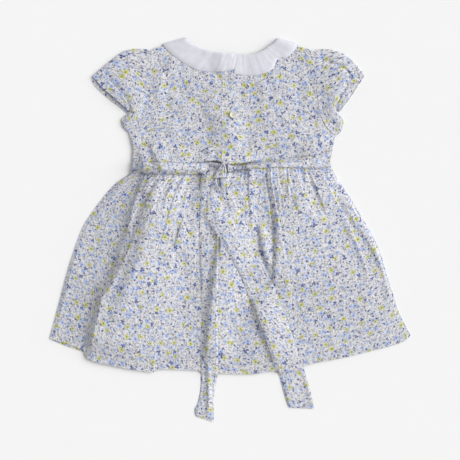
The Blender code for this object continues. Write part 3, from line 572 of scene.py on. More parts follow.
neck_at, waist_at, edge = cut(under_lap)
xy = patch(stretch(bodice_waist, 0, waist_at), path(LEFT_SHOULDER, neck(np.linspace(0, neck_at, 30))),
           left_side, edge)(u, v)
z = bodice_back(xy, u * BACK_WIDTH, (1 - v) * BACK_LENGTH + AT_NECK * (xy[..., 0] > NECK_ENDS[0]))
sink = LAP_SINK * ease((xy[..., 0] - lap_edge - 0.5) / 3)
bodice_back_left = raised(xy, z - sink)
cloth("bodice_back_left", bodice_back_left,
      offset=(-117, 29))
lay(bodice_back_left)

neck_at, waist_at, edge = cut(lap_edge)
xy = patch(stretch(bodice_waist, waist_at, 1), path(neck(np.linspace(neck_at, 1, 30)), RIGHT_SHOULDER),
           edge, right_side)(u, v)
z = bodice_back(xy, (1 - u) * BACK_WIDTH, (1 - v) * BACK_LENGTH + AT_NECK * (xy[..., 0] < NECK_ENDS[1]))
fullness = ease(u * BACK_WIDTH / LAP_EDGE)
sink = LAP_SINK * ease((xy[..., 0] - lap_edge - 0.5) / 3)
bodice_back_right = raised(xy, z + (0.05 + LAWN * (PRESSED + (1 - PRESSED) * fullness) - sink))
cloth("bodice_back_right", bodice_back_right,
      offset=(103, -57), fullness=fullness)
lay(bodice_back_right)

# ---------------------------------------------------------------------------
# Sleeves and cuffs. Each short puffed sleeve is one piece of the printed lawn, gathered into the
# armhole and into a narrow cuff. Laid flat, its two layers stand a little apart.
Sleeve = namedtuple("Sleeve", "side top_fold armhole cuff_seam back_edge front_edge bulge under folds")
SLEEVES = (
    Sleeve(
        side="left",
        armhole=LEFT_ARMHOLE,
        top_fold=((-117, 243.9), (-131, 244), (-143, 240.6), (-155.7, 232.2), (-169.4, 221), (-174, 217)),
        cuff_seam=((-174, 217), (-165.5, 205.5), (-154, 193), (-143, 180), (-136.5, 169), (-135, 160.5)),
        back_edge=((-185.4, 207), (-172.3, 191.8), (-162, 183.5), (-148.5, 171.5), (-138, 161.3)),
        front_edge=((-186, 202.5), (-180.5, 192.4), (-162.5, 175.8), (-147.4, 164.7), (-140.2, 158.8)),
        bulge=((-139.5, 155.5), (-146, 149.6)),
        under=((-144.2, 140), (-146, 149.6)),
        folds=(
            ((-157, 219, 5, 1.6, 0), (-149, 223, 6, 1.8, -2.0), (-139, 227, 6, 1.8, -2.0),
             (-130, 229, 5, 1.6, 0)),
            ((-152, 217.5, 5, 1.5, 0), (-143, 219.5, 5, 1.6, -1.8), (-125, 218.5, 5, 1.6, -1.4),
             (-118, 217, 4, 1.5, 0)),
            ((-132, 229, 4, 1.5, 0), (-124, 229.5, 4, 1.6, -1.6), (-116, 229, 4, 1.5, 0)),
            ((-132, 218, 4, 1.5, 0), (-124, 216.5, 4, 1.6, -1.6), (-117, 214, 4, 1.5, 0)),
            ((-138, 137, 4, 1.6, 0), (-131, 136, 4, 1.8, -2.0), (-125, 140, 4, 1.8, -1.6),
             (-119, 146, 3, 1.5, 0)),
            ((-141, 160.5, 2.2, 2.0, -2.5), (-136, 158.6, 2.2, 2.2, -4.5), (-131, 157.4, 2.0, 2.0, -3.5),
             (-128.5, 156.5, 1.5, 1.5, 0)),
        )),
    Sleeve(
        side="right",
        armhole=RIGHT_ARMHOLE,
        top_fold=((124.2, 243.9), (138, 242.6), (151.7, 237.7), (164.2, 229.5), (173, 219.4)),
        cuff_seam=((173, 219.4), (165.5, 206), (157, 191), (149.5, 178), (144.5, 168), (143.5, 161)),
        back_edge=((180.8, 209), (174.4, 199.3), (163.6, 182.7), (154, 170.2), (147, 161.5)),
        front_edge=((180.8, 206), (175.2, 198), (164.6, 181), (155, 168.5), (148.6, 160)),
        bulge=((147.5, 156.2), (153.6, 147.5)),
        under=((150.2, 134.5), (153.6, 147.5)),
        folds=(
            ((117, 232.5, 5, 1.6, 0), (127, 230, 6, 1.8, -2.2), (138, 227, 6, 1.8, -2.2),
             (149, 222.5, 6, 1.8, -2.4), (159, 214.5, 6, 1.8, -2.4), (165, 206, 5, 1.6, -1.0),
             (167, 202, 4, 1.5, 0)),
            ((122, 219, 4, 1.5, 0), (132, 214, 5, 1.8, -1.2), (144, 205, 5, 1.8, -1.0),
             (150, 196, 4, 1.5, 0)),
            ((134, 158, 4, 1.5, 0), (141, 157, 4, 1.6, -1.6), (146, 156, 3, 1.5, -0.8)),
            ((134, 145, 4, 1.5, 0), (140, 143.5, 4, 1.8, -2.0), (147, 143, 3, 1.5, -0.6)),
        )),
)
SLEEVE_SEAM = 0.12      # the seam is pressed, so that its two sides meet
SLEEVE_GATHERS = 9
GROOVE = -2.2           # between two gathers
PUFF = 2.3
TUBE_MIDDLE = 1.9       # level of the upper layer's edges
TUBE_UNDER = 1.6        # level of the lower layer's edges
SLEEVE_POINTS = 84
CUFF_POINTS = 56
CUFF_ACROSS = 18
CUFF_WALL = 0.8         # two layers of lawn, pressed
CUFF_SHARE = 0.96       # share of the sleeve's end that the cuff's fold reaches along


def tube(place, columns, rows, top, bottom, lower_place=None):
    """Rows of points round a flattened tube: over its upper layer, then back under it."""
    t, s = grid(columns, rows)
    t = 0.5 - 0.5 * np.cos(pi * t)
    over = raised(place(t, s), top(t, s, place(t, s)))
    below = raised((lower_place or place)(t, s), TUBE_UNDER - bottom(t, s))[:, ::-1]
    return np.concatenate([over, below[:, 1:-1]], axis=1)


for sleeve in SLEEVES:
    facing = 1 if sleeve.side == "left" else -1
    head = path(shifted(sleeve.armhole[::-1], -facing * SLEEVE_SEAM, 0.0))
    end = path(sleeve.cuff_seam, (sleeve.cuff_seam[-1], *sleeve.bulge))
    place = patch(head, end, path((head(0), *sleeve.top_fold)), path((head(1), *sleeve.under)))
    runs = np.hypot(*np.diff((*sleeve.cuff_seam, sleeve.bulge[-1]), axis=0).T)
    notch = runs[:-1].sum() / runs.sum()        # where the cuff ends along the sleeve's end

    def height(t, s):
        """Half the tube's height, none at its folds and where it is closed below the cuff."""
        closed = 1 - ease((t - notch + 0.02) / 0.04) * ease((s - 0.86) / 0.14)
        return np.sin(pi * t) ** 0.5 * closed

    def top(t, s, xy):
        puff = PUFF * np.sin(pi * (0.9 * s) ** 1.3)
        near_ends = np.clip(1 - s / 0.38, 0, 1) ** 1.3 + np.clip(1 - (1 - s) / 0.34, 0, 1) ** 1.3
        wander = t + 0.02 * np.sin(23 * t + 4 * s) + 0.015 * np.sin(9 * s)
        groove = GROOVE * near_ends * np.abs(np.cos(pi * SLEEVE_GATHERS * wander)) ** 5
        relief = groove + fold_heights(sleeve.folds, xy) + 0.4 * waver(xy, 15, 21)
        own = TUBE_MIDDLE + height(t, s) * np.maximum(1.3 + puff + relief, 0.1)
        bodice = under(head(t) + (2.5 * facing, 0.0), 1) - 0.3
        joined = TUBE_MIDDLE + (bodice - TUBE_MIDDLE) * np.sin(pi * t) ** 0.25
        return own + (joined - own) * ease(1 - s / 0.22)

    points = tube(place, SLEEVE_POINTS, SLEEVE_POINTS, top, lambda t, s: 0.9 * height(t, s))
    cloth("sleeve_" + sleeve.side, points[:, ::facing],
          offset=(231, 77), wrap=True)
    lay(points[:, :SLEEVE_POINTS])

    # The cuff: a straight band, folded in two. The front layer shows beyond the back one's edge.
    seam = path(sleeve.cuff_seam)

    def band(edge):
        across = strip(lambda t: seam(t * CUFF_SHARE), path(edge))
        return lambda t, s: across(s, t)

    def band_top(t, s, xy):
        """Next to the seam it stands up a little; its free edge lies close, but for the lower end."""
        stands = 0.5 * ease(s / 0.2) + 1.3 - 1.0 * s + 1.7 * ease((t - 0.35) / 0.5)
        return TUBE_MIDDLE + np.sin(pi * t) ** 0.5 * (0.5 + stands + 0.25 * waver(xy, 12, 23))

    points = tube(band(sleeve.back_edge), CUFF_POINTS, CUFF_ACROSS, band_top,
                  lambda t, s: 0.7 * np.sin(pi * t) ** 0.5, band(sleeve.front_edge))
    cloth("cuff_" + sleeve.side, points[:, ::facing], offset=(19, 143),
          thickness=CUFF_WALL, wrap=True)
    lay(points[:, :CUFF_POINTS])

# ---------------------------------------------------------------------------
# Back of the skirt. The same A-line panel as the front, gathered into the waist seam under the sash.
# It has been laid with a deep pleat at the left, and smaller folds run down from the gathers.
BACK_HEM = (
    ((-244.2, -147), (-228.4, -151), (-212, -156.5), (-197.5, -162)),
    ((-197.5, -162), (-193.5, -173)),
    ((-193.5, -173), (-180, -178.3), (-159.6, -182.7), (-139, -187), (-118, -190.2), (-103.5, -192.8)),
    ((-103.5, -192.8), (-100.5, -188.6)),
    ((-100.5, -188.6), (-85, -188), (-63, -188.8), (-40, -190.3), (-16, -192.9), (10, -194.4), (32, -194.4),
     (47, -192), (63, -189.6), (98.6, -184), (118, -179), (149, -173.3), (172, -167.8), (195.5, -162),
     (216, -157), (234, -150.8), (244.4, -142.3)),
)
SKIRT_SWELLS = {
    "second fold": (
        (-92, 72.6, 14, 90, 3.2), (-102, 20, 22, 90, 5.4), (-113, -27.3, 24, 90, 6.2),
        (-125.6, -59.7, 24, 90, 5.8), (-134, -77, 22, 90, 4.8), (-140.4, -95, 20, 90, 3.6),
        (-147, -111, 18, 80, 2.0), (-152, -130, 16, 70, 0)),
    "third fold": (
        (-66, 70, 16, 50, 0), (-69, 40, 20, 50, 1.2), (-72, 0, 20, 50, 1.4), (-78, -50, 18, 50, 1.0),
        (-86, -110, 16, 50, 0)),
    "left of the tail": (
        (-33, 76, 28, 60, 1.8), (-31, 56, 38, 100, 4.4), (-28, 30, 46, 110, 6.4), (-27, 0, 48, 110, 7.0),
        (-28, -34, 46, 110, 5.8), (-31, -70, 38, 80, 3.2), (-35, -110, 30, 60, 1.2),
        (-38, -150, 20, 40, 0)),
    "beside the knot": ((-2, 74, 7, 6, 0), (6, 75, 9, 7, -2.0), (16, 76.5, 9, 7, -2.2), (26, 78, 8, 6, 0)),
    "right of the knot": (
        (46, 92, 54, 60, 7.0), (48, 83, 56, 60, 7.6), (49, 73, 56, 60, 3.8), (48, 63, 44, 60, 0.6),
        (44, 52, 30, 50, 0)),
    "under the knot": (
        (-32, 80, 8, 20, 1.0), (-28, 72, 9, 30, 2.0), (-27, 62, 9, 30, 1.6), (-27, 50, 8, 20, 0)),
    "right of the hole": (
        (-12, 80, 7, 110, 2.0), (-11, 73, 8, 110, 7.0), (-10.5, 65, 8, 110, 8.5), (-10, 58, 6.5, 100, 6.0),
        (-8.5, 52, 5, 90, 2.6), (-7, 42, 5, 70, 1.6), (-5, 22, 6, 60, 0)),
}
# Folds that are crisp at the top, where the cloth turns over.
SKIRT_CRESTS = {
    "pleat": (
        (-106.7, 72.6, 8, 60, 1.6), (-112, 40, 10, 80, 2.4), (-118.8, 14.6, 11, 90, 3.0),
        (-130, -14, 12, 110, 4.4), (-147, -51.6, 15, 130, 7.2), (-156, -69, 17, 140, 8.8),
        (-166.5, -82.6, 18, 140, 9.6), (-173.5, -96, 20, 140, 9.8), (-175.5, -110, 20, 140, 9.8),
        (-179, -123, 20, 140, 9.8), (-183, -136.6, 19, 140, 9.6), (-185.8, -150, 17, 140, 9.2),
        (-188, -165, 15, 140, 8.4), (-190, -178.5, 14, 140, 7.6)),
    "pleat's inner step": (
        (-115, 72.6, 8, 70, 4.0), (-122, 51, 9, 90, 6.0), (-129, 35, 10, 110, 6.6),
        (-134.5, 13, 12, 120, 6.6), (-138, -5, 13, 120, 6.2), (-146, -27, 14, 110, 5.6),
        (-152, -46, 15, 100, 4.6), (-159, -62, 14, 90, 3.2), (-172, -84, 10, 60, 0)),
    "slit": (
        (-64.4, 12.6, 1.5, 10, 0), (-66.2, 5.8, 2.5, 14, 1.8), (-70.2, -8.4, 3, 16, 2.8),
        (-73.2, -22.5, 2.5, 14, 1.8), (-74.5, -28.6, 1.5, 10, 0)),
    "right of the left tail": (
        (-33.8, 36, 5, 30, 0), (-29, 17.3, 7, 40, 2.4), (-19, 1, 8, 50, 4.4), (-14.2, -8.4, 9, 50, 5.4),
        (-12.2, -17.8, 10, 50, 5.8), (-14.2, -30, 10, 50, 5.8), (-18.2, -58, 10, 50, 5.6),
        (-22.3, -86.7, 10, 50, 5.4), (-26.3, -124.5, 10, 50, 5.2), (-28.4, -155.5, 9, 50, 4.8),
        (-29.7, -178.5, 9, 50, 4.4)),
    "under the right tail": (
        (27, -95, 5, 30, 0), (32.4, -104, 8, 34, 3.6), (38.5, -117.7, 10, 36, 5.6),
        (44.6, -135, 10, 36, 5.0), (52, -157, 10, 36, 4.2), (58, -176, 9, 34, 3.8), (63, -195, 8, 30, 3.4)),
    "right crease": (
        (108, 80.7, 4, 60, 1.5), (110.7, 72.6, 5, 60, 2.4), (114.8, 60.5, 5.5, 60, 3.2),
        (120, 47, 6, 60, 3.4), (125.6, 33.5, 5, 50, 2.4), (130.3, 20, 4, 40, 0)),
    "right side": (
        (141, 52, 4, 40, 0), (150, 40, 7, 40, 1.2), (165, 15, 7, 40, 1.9), (182, -8, 6.5, 36, 1.9),
        (196, -34, 6, 30, 1.9), (206, -54, 6, 24, 1.6), (214, -76, 5, 20, 0)),
    "beside the right side": (
        (141, 34, 5, 30, 0), (148, 20, 8, 34, 1.0), (158, 2, 8, 36, 1.4), (169, -18, 7, 36, 1.4),
        (183, -52, 7, 34, 1.4), (197, -84, 6, 30, 0)),
    "gather f": ((-74, 74, 7, 30, 1.4), (-82, 52, 8, 34, 2.2), (-88, 34, 8, 34, 1.4), (-92, 16, 6, 30, 0)),
    "gather g": ((-60, 40, 7, 30, 0), (-62, 16, 9, 34, 1.6), (-64, -12, 9, 34, 1.4), (-66, -36, 7, 30, 0)),
    "gather h": ((84, 78, 7, 34, 1.2), (86, 66, 8, 34, 1.6), (90, 40, 9, 34, 1.4), (94, 6, 9, 34, 0)),
    "gather a": ((-109.4, 66, 3, 10, 1.6), (-116, 53.7, 3, 10, 2.0), (-118, 47, 3, 10, 0)),
    "gather b": (
        (-98, 66, 3, 10, 0), (-104, 52, 3, 12, 1.8), (-110.7, 40, 3, 12, 1.6), (-113, 30, 3, 10, 0)),
    "gather c": ((78.3, 76, 3, 14, 1.4), (78.3, 58, 3, 14, 1.4), (78.3, 38, 3, 12, 0)),
    "gather d": ((100.6, 80, 3, 14, 1.6), (101, 68, 3, 14, 1.5), (101.5, 56, 3, 12, 0)),
}
# Folds that are crisp at the foot, where the cloth comes out from under what lies to its left.
SKIRT_FEET = {
    "inner pleat": (
        (57, 76, 10, 100, 2.6), (65.3, 49, 14, 120, 5.0), (70, 32.8, 16, 120, 6.2),
        (67.3, 10.5, 11, 120, 6.8), (65.4, -13.8, 8, 110, 6.4), (64.4, -34, 7, 90, 5.6),
        (61.3, -64.4, 5, 60, 3.4), (58.4, -76, 3, 40, 0)),
    "wedge": (
        (39.2, 10.5, 3, 12, 0), (42, 1, 5, 14, 3.0), (45.5, -13.8, 7, 15, 4.4), (47.5, -27, 7, 15, 4.8),
        (50.6, -38, 6, 13, 3.8), (55, -51.6, 5, 10, 2.0), (58, -60, 4, 8, 0)),
}
WAIST_LEVEL = 84        # Y of the waist under the sash
GATHERS = 58            # across the back's waist seam
GATHER_HEIGHT = 1.6
GATHER_LENGTH = 30.0    # of an average one, from the seam to where it has faded to a third
GATHER_STEEP = 0.9      # width of the flank where a gather's cloth turns over
WAIST_TROUGH = 6.0      # the waist seam sinks in under the sash, but not right of the knot
LIFT = 3.8              # the back stands this far off the front
LIFT_FALL = 2.4         # and so much less at the right
SKIRT_EDGE = 5          # width of the pressed side seams
HEM_SHARE = 0.13        # share of the skirt's length over which it comes down to its hem
HEM_HEIGHT = 0.24       # share of a fold's height that is left at the hem


def gather_heights(xy, u, width, seed):
    """Small folds of uneven height and length that run down from the waist seam; most lie to the right."""
    rng = np.random.default_rng(seed)
    down = np.maximum(WAIST_LEVEL - xy[..., 1], 0)
    total = np.zeros(u.shape)
    for k in range(GATHERS):
        at = (k + 0.5 + rng.uniform(-0.3, 0.3)) / GATHERS
        height = GATHER_HEIGHT * rng.uniform(0.4, 1.3)
        length = GATHER_LENGTH * rng.choice((0.4, 0.8, 1.7, 3.4), p=(0.3, 0.3, 0.25, 0.15))
        lean = rng.uniform(-0.004, 0.004)
        across = (u - at - lean * down / 60) * width * rng.choice((-1, 1), p=(0.24, 0.76))
        gentle = 9.0 + 0.12 * down
        shape = np.where(across > 0, np.clip(1 - across / GATHER_STEEP, 0, 1) ** 2,
                         np.clip(1 + across / gentle, 0, 1))
        total += height * np.exp(-down / length) * shape
    filled = 0.93 * np.exp(-((xy[..., 0] - 50) / 48) ** 2)
    return total - WAIST_TROUGH * (1 - ease((down - 4) / 4.5)) * (1 - filled)


u, v = grid(400, 118)
xy = skirt_place(*BACK_HEM)(u, v)
width = np.linalg.norm(skirt_right(1 - v) - skirt_left(1 - v), axis=-1)
to_side = np.minimum(u, 1 - u) * width
lift = LIFT - LIFT_FALL * ease((xy[..., 0] - 70) / 120)
rise = 0.3 + lift * ease(to_side / 70) * ease((WAIST_LEVEL + 2 - xy[..., 1]) / 20)
folds = (fold_heights(SKIRT_SWELLS.values(), xy) + fold_heights(SKIRT_CRESTS.values(), xy, "crest")
         + fold_heights(SKIRT_FEET.values(), xy, "foot"))
relief = (folds * ease(to_side / 4) + gather_heights(xy, u, width, 31) + 0.35 * waver(xy, 11, 34)
          + 0.6 * waver(xy, 22, 32) + 0.9 * waver(xy, 57, 33))
hem = HEM_HEIGHT + (1 - HEM_HEIGHT) * ease(v / HEM_SHARE)
fullness = ease(to_side / SKIRT_EDGE)
level = under(xy, 2) + CLOSE_AIR + LAWN * (PRESSED + (1 - PRESSED) * fullness)
z = np.maximum(level, (BACK_LEVEL - 1.0) * fullness) + np.maximum(rise + relief, 0) * hem * ease(to_side / 4)
skirt_back = raised(xy, z)
cloth("skirt_back", skirt_back,
      offset=(11, 301), fullness=fullness)
lay(skirt_back)

# ---------------------------------------------------------------------------
# Frilled collar. The back half of the frill lies on the backs in loose ripples and ends in two square
# corners at the opening. The strip turns over at each shoulder and runs on under the front.
FRILL_LEFT_NECK = (
    (9.7, 237.1), (-11.7, 238.7), (-28.9, 241.5), (-42.7, 245.6), (-54, 253.9), (-61.3, 260.1))
FRILL_LEFT_EDGE = (
    (6.2, 215.4), (-3.5, 215.2), (-11.7, 213.6), (-22, 213.4), (-35.8, 214.6), (-46.2, 216.6),
    (-58.6, 222.9), (-68.2, 229.1), (-83.3, 241.5), (-91.8, 251.8))
FRILL_RIGHT_NECK = (
    (9.8, 237), (24.3, 236.9), (34.6, 238), (45, 242.2), (54, 248.4), (61.5, 254.4), (66, 259.3))
FRILL_RIGHT_EDGE = (
    (5.4, 210.8), (15.9, 209.1), (27.7, 209), (40.1, 209.8), (52.5, 213.6), (58.5, 218.5), (63, 228.4),
    (67.6, 232), (75, 232.6), (82.1, 236.7), (88.3, 244.2), (92.3, 252.6))
FRILL_BACK_ALONG = 130  # points along each half of the back
FRILL_TURN = 9          # rows of points round each shoulder
FRILL_WALL = 0.45
FRILL_WAVES = 13
ROLLED_SHARE = 0.12     # share of the frill's depth that its narrow rolled hem takes up


def plain_lawn():
    """White cotton lawn: the same weave, undyed, matte, with slubs that make it faintly uneven."""
    material, tree, shader = new_finish("White cotton lawn", Roughness=0.8, IOR=1.5, Sheen_Weight=0.1,
                                        Specular_IOR_Level=0.25)
    place = add(tree, "UVMap")[0]
    slub = add(tree, "TexNoise", {"Vector": place, "Scale": 1000 / MOTTLE_SIZE, "Detail": 3.0},
               noise_dimensions="2D")[0]
    tint = add(tree, "Mix", {0: slub, 6: linear("#D3D3DC"), 7: linear("#E0E0E8")}, data_type="RGBA")[2]
    tree.links.new(tint, shader.inputs["Base Color"])
    woven(tree, shader, place, 0.2)
    return material


def rolled(t):
    """The rolled hem at the outer edge is so narrow that it looks thinner than the strip."""
    return ease((1 - t) / ROLLED_SHARE)


def frill_back(neck_edge, outer_edge, seed):
    """Rows of points of half the frill's back, from the opening to the shoulder."""
    t, s = grid(FRILL_ACROSS, FRILL_BACK_ALONG)
    s = (1 - FRILL_SPARE) * s
    xy = strip(path(neck_edge), path(outer_edge))(t, s)
    rng = np.random.default_rng(seed)
    waves = np.zeros(s.shape)
    for k in range(FRILL_WAVES):
        at = (k + rng.uniform(-0.3, 0.3)) / FRILL_WAVES
        slant = rng.uniform(-0.03, 0.03)
        breadth = rng.uniform(0.018, 0.036)
        waves += rng.uniform(0.5, 1.3) * np.exp(-((s - at - slant * t) / breadth) ** 2)
    lift = 0.3 * waves * (0.3 + 0.7 * t) * ease((0.97 - s) / 0.12) * (1 - 0.8 * t ** 6) + 0.4 * (1 - t) ** 3
    flat_end = (0.5 + 0.2 * ease(s / 0.03)) * (1 - t ** 6)
    wall = FRILL_WALL * (PRESSED + (1 - PRESSED) * rolled(t))
    return raised(xy, under(xy, 1) + AIR + wall + lift + flat_end)


def shoulder_turn(above, below):
    """Rows round the fold at a shoulder, from the back half's last row to the front half's first."""
    along = above[-1, :2] - above[0, :2]
    out = np.array((along[1], -along[0], 0)) / np.hypot(*along)
    if out[1] < 0:
        out = -out
    radius = (above[:, 2] - below[:, 2])[:, None] / 2
    middle = (above + below) / 2
    rows = []
    for angle in np.linspace(0, pi, FRILL_TURN + 2)[1:-1]:
        along_turn = (1 - np.cos(angle)) / 2
        place = above * (1 - along_turn) + below * along_turn
        place[:, 2] = middle[:, 2] + radius[:, 0] * np.cos(angle)
        rows.append(place + out * radius * np.sin(angle) * 0.8)
    return np.array(rows)


left = frill_back(FRILL_LEFT_NECK, FRILL_LEFT_EDGE, 41)
right = frill_back(FRILL_RIGHT_NECK, FRILL_RIGHT_EDGE, 42)
collar = np.concatenate([left, shoulder_turn(left[-1], frill_front[0]), frill_front,
                         shoulder_turn(right[-1], frill_front[-1])[::-1], right[::-1]])
across = np.linspace(0, 1, FRILL_ACROSS) + np.zeros((len(collar), 1))
cloth("collar", collar,
      thickness=FRILL_WALL,
      fullness=rolled(across), name="frilled_collar", material=plain_lawn())
lay(left)
lay(right)

# ---------------------------------------------------------------------------
# Stitching. The back's hem and the cuffs are turned up and sewn down with a row of white machine
# stitches, each of which sinks into the cloth at both ends.
STITCH_PITCH = 3.0
STITCH_LENGTH = 2.2
STITCH_WIDTH = 0.4      # a thread is 0.25 mm thick; drawn wider, so that it shows
STITCH_POINTS = 7       # along each stitch
STITCH_SECTION = ((-1, -0.35), (-0.7, 0.0), (0, 0.14), (0.7, 0.0), (1, -0.35))
TWIST = 0.5             # length of one turn of the thread's strands
THREAD_PATCH = 1.5      # of its whiter and greyer patches
HEM_STITCHES = (
    ((-238, -136.5), (-226, -139.5), (-212, -144.5), (-200, -149)),
    ((-189, -162), (-180, -166), (-160, -170.5), (-139, -175), (-118, -178), (-106, -180)),
    ((-97, -176.5), (-85, -176), (-63, -176.8), (-41, -178.2)),
    ((-14, -181), (10, -182.4), (32, -182.4), (47, -180), (60, -178)),
    ((100, -172), (118, -167), (149, -161.3), (172, -155.8), (195.5, -150), (216, -145), (236, -138)),
)
CUFF_STITCHES = (
    ((-178, 209.5), (-168.5, 198.5), (-157.5, 189), (-145.5, 176.5), (-138.5, 168)),
    ((176, 212), (168.5, 202), (159.5, 187.5), (151, 174.5), (146.3, 166.5)),
)


def sewing_thread():
    """Cotton sewing thread: matte, twisted, and a little uneven in its whiteness."""
    material, tree, shader = new_finish("Cotton sewing thread", Roughness=0.75, IOR=1.5, Sheen_Weight=0.15)
    place = add(tree, "TexCoord")["Object"]
    uneven = add(tree, "TexNoise", {"Vector": place, "Scale": 1000 / THREAD_PATCH, "Detail": 2.0})[0]
    tint = add(tree, "Mix", {0: uneven, 6: linear("#CFCFD6"), 7: linear("#E6E6EA")}, data_type="RGBA")[2]
    tree.links.new(tint, shader.inputs["Base Color"])
    twist = add(tree, "TexWave", {"Vector": place, "Scale": 1000 / TWIST / WAVES},
                bands_direction="DIAGONAL")[1]
    bump = add(tree, "Bump", {"Height": twist, "Strength": 0.4, "Distance": THREAD_RELIEF * MM})[0]
    tree.links.new(bump, shader.inputs["Normal"])
    return material


SEWING_THREAD = sewing_thread()


def thread_faces(first, rows, points, closed):
    """Faces between the rows of a thread's points, the first of which is vertex number first."""
    return [(first + points * i + j, first + points * (i + 1) + j,
             first + points * (i + 1) + (j + 1) % points, first + points * i + (j + 1) % points)
            for i in range(rows - 1) for j in range(points if closed else points - 1)]


def stitched(name, runs):
    """Rows of stitches, each one an arch of thread on top of the cloth."""
    vertices, faces = [], []
    share = np.linspace(0, 1, STITCH_POINTS)
    arch = np.sin(pi * share) ** 0.6
    for run in runs:
        line = path(run)(np.linspace(0, 1, 800))
        gone = np.r_[0, np.cumsum(np.hypot(*np.diff(line, axis=0).T))]
        for start in np.arange(0, gone[-1] - STITCH_LENGTH, STITCH_PITCH):
            at = start + STITCH_LENGTH * share
            places = np.stack([np.interp(at, gone, line[:, 0]), np.interp(at, gone, line[:, 1])], axis=-1)
            ahead = (places[-1] - places[0]) / STITCH_LENGTH
            aside = np.array((-ahead[1], ahead[0])) * STITCH_WIDTH / 2
            faces += thread_faces(len(vertices), STITCH_POINTS, len(STITCH_SECTION), False)
            for place, z, rise in zip(places, under(places, 0), arch):
                vertices += [(*(place + side * aside * (0.5 + 0.5 * rise)), z - 0.3 + (0.35 + up) * rise)
                             for side, up in STITCH_SECTION]
    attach(new_piece(name, vertices, faces, SEWING_THREAD), "root")


stitched("hem_stitches", HEM_STITCHES)
stitched("cuff_stitches", CUFF_STITCHES)

# ---------------------------------------------------------------------------
# Button. A small round button of cream resin with a raised rim and four holes, sewn on through them
# with cotton thread, at the middle of the back opening.
BUTTON = (4.1, 155.0)
# Radius and height, from the middle of its face out to the rim and in underneath.
BUTTON_PROFILE = (
    (0.15, 1.5), (0.3, 1.5), (0.45, 1.5), (0.58, 1.5), (0.7, 1.5), (0.82, 1.5), (0.94, 1.5), (1.06, 1.5),
    (1.18, 1.5), (1.3, 1.5), (1.42, 1.5), (1.54, 1.5), (1.68, 1.48), (1.9, 1.46), (2.3, 1.45), (2.9, 1.6),
    (3.3, 1.95), (3.6, 2.15), (4.0, 2.2), (4.4, 2.0), (4.65, 1.6), (4.75, 1.1), (4.5, 0.4), (3.6, 0.0))
FACE_RINGS = 20         # rings of the profile that the holes may reach
HOLE_RING = 1.1
HOLE_RADIUS = 0.5
HOLE_DEPTH = 1.2
SEGMENTS = 72
STRAND = 0.2            # radius of the sewing thread, drawn a little thick
STRAND_PLACES = (-0.28, 0.0, 0.28)      # across each pair of holes
STRAND_LEVEL = 1.0      # at the holes, above the underside of the button
STRAND_ARCH = 0.65      # and so much more between them
STRAND_POINTS = 8       # round it
STRAND_ROWS = 11
CLOUD_SIZE = 5          # of the resin's swirls

level = float(under(np.array([BUTTON]), 2)[0]) + GAP
angles = np.linspace(0, 2 * pi, SEGMENTS, endpoint=False)
radius, height = (np.array(column)[:, None] for column in zip(*BUTTON_PROFILE))
face = np.stack(np.broadcast_arrays(radius * np.cos(angles), radius * np.sin(angles), height), axis=-1).copy()
holes = [(x * HOLE_RING, y * HOLE_RING) for x in (-0.7, 0.7) for y in (-0.7, 0.7)]
for hole in holes:
    away = np.hypot(face[:FACE_RINGS, :, 0] - hole[0], face[:FACE_RINGS, :, 1] - hole[1])
    face[:FACE_RINGS, :, 2] -= HOLE_DEPTH * (1 - ease((away / HOLE_RADIUS - 0.5) * 2))
face += (*BUTTON, level)
faces = thread_faces(0, len(face), SEGMENTS, True)
faces.append(tuple(range(SEGMENTS)))
faces.append(tuple((len(face) - 1) * SEGMENTS + i for i in reversed(range(SEGMENTS))))
# Moulded polyester resin, polished: cream, with a faint cloudy swirl and a soft shine on its rim.
resin, tree, shader = new_finish("Polished cream resin", Roughness=0.28, IOR=1.55)
cloud = add(tree, "TexNoise", {"Vector": add(tree, "TexCoord")["Object"], "Scale": 1000 / CLOUD_SIZE,
                               "Detail": 3.0, "Distortion": 1.5})[0]
tint = add(tree, "Mix", {0: cloud, 6: linear("#D6D3BD"), 7: linear("#ECEADB")}, data_type="RGBA")[2]
tree.links.new(tint, shader.inputs["Base Color"])
piece = new_piece("resin_button", face, faces, resin)
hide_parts("button")
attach(piece, "root")

# Three strands of thread across each pair of holes.
vertices, faces = [], []
for start, end in (holes[:2], holes[2:]):
    for aside in STRAND_PLACES:
        faces += thread_faces(len(vertices), STRAND_ROWS, STRAND_POINTS, True)
        for share in np.linspace(0, 1, STRAND_ROWS):
            x = BUTTON[0] + start[0] + aside
            y = BUTTON[1] + start[1] + share * (end[1] - start[1])
            z = level + STRAND_LEVEL + STRAND_ARCH * np.sin(pi * share) ** 0.4
            vertices += [(x + STRAND * np.cos(angle), y, z + STRAND * np.sin(angle))
                         for angle in np.linspace(0, 2 * pi, STRAND_POINTS, endpoint=False)]
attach(new_piece("button_thread", vertices, faces, SEWING_THREAD), "root")

# ---------------------------------------------------------------------------
# Sash. A narrow double band of the printed lawn. One side comes out of each side seam, the left one
# rolled to a cord, and they are tied at the waist in a single knot with two flat tails.
# Each band is given by its two long edges, the knot by its four sides.
SASH_RIGHT = (
    ((134.2, 107.2), (121.5, 102.4), (106.7, 99.2), (84, 97.2), (60, 94.4), (43.2, 91.6), (33, 88.8),
     (27, 88), (20, 87), (9, 85.4), (-3, 88)),
    ((135.1, 83.6), (106.4, 82.4), (94.5, 82.8), (69.8, 83.4), (54, 83), (43, 82.4), (31, 81.8), (20, 81.4),
     (12, 80.6), (3, 78), (-2.5, 77.5)),
)
SASH_LEFT = (
    ((-131, 92), (-108, 91), (-73, 90.4), (-52.7, 89.8), (-40.5, 89.6), (-32.4, 90), (-24, 90.3),
     (-11, 88)),
    ((-131, 77), (-101.3, 75), (-56.7, 74.4), (-42, 74.6), (-33, 75.4), (-26, 76.4), (-13, 78)),
)
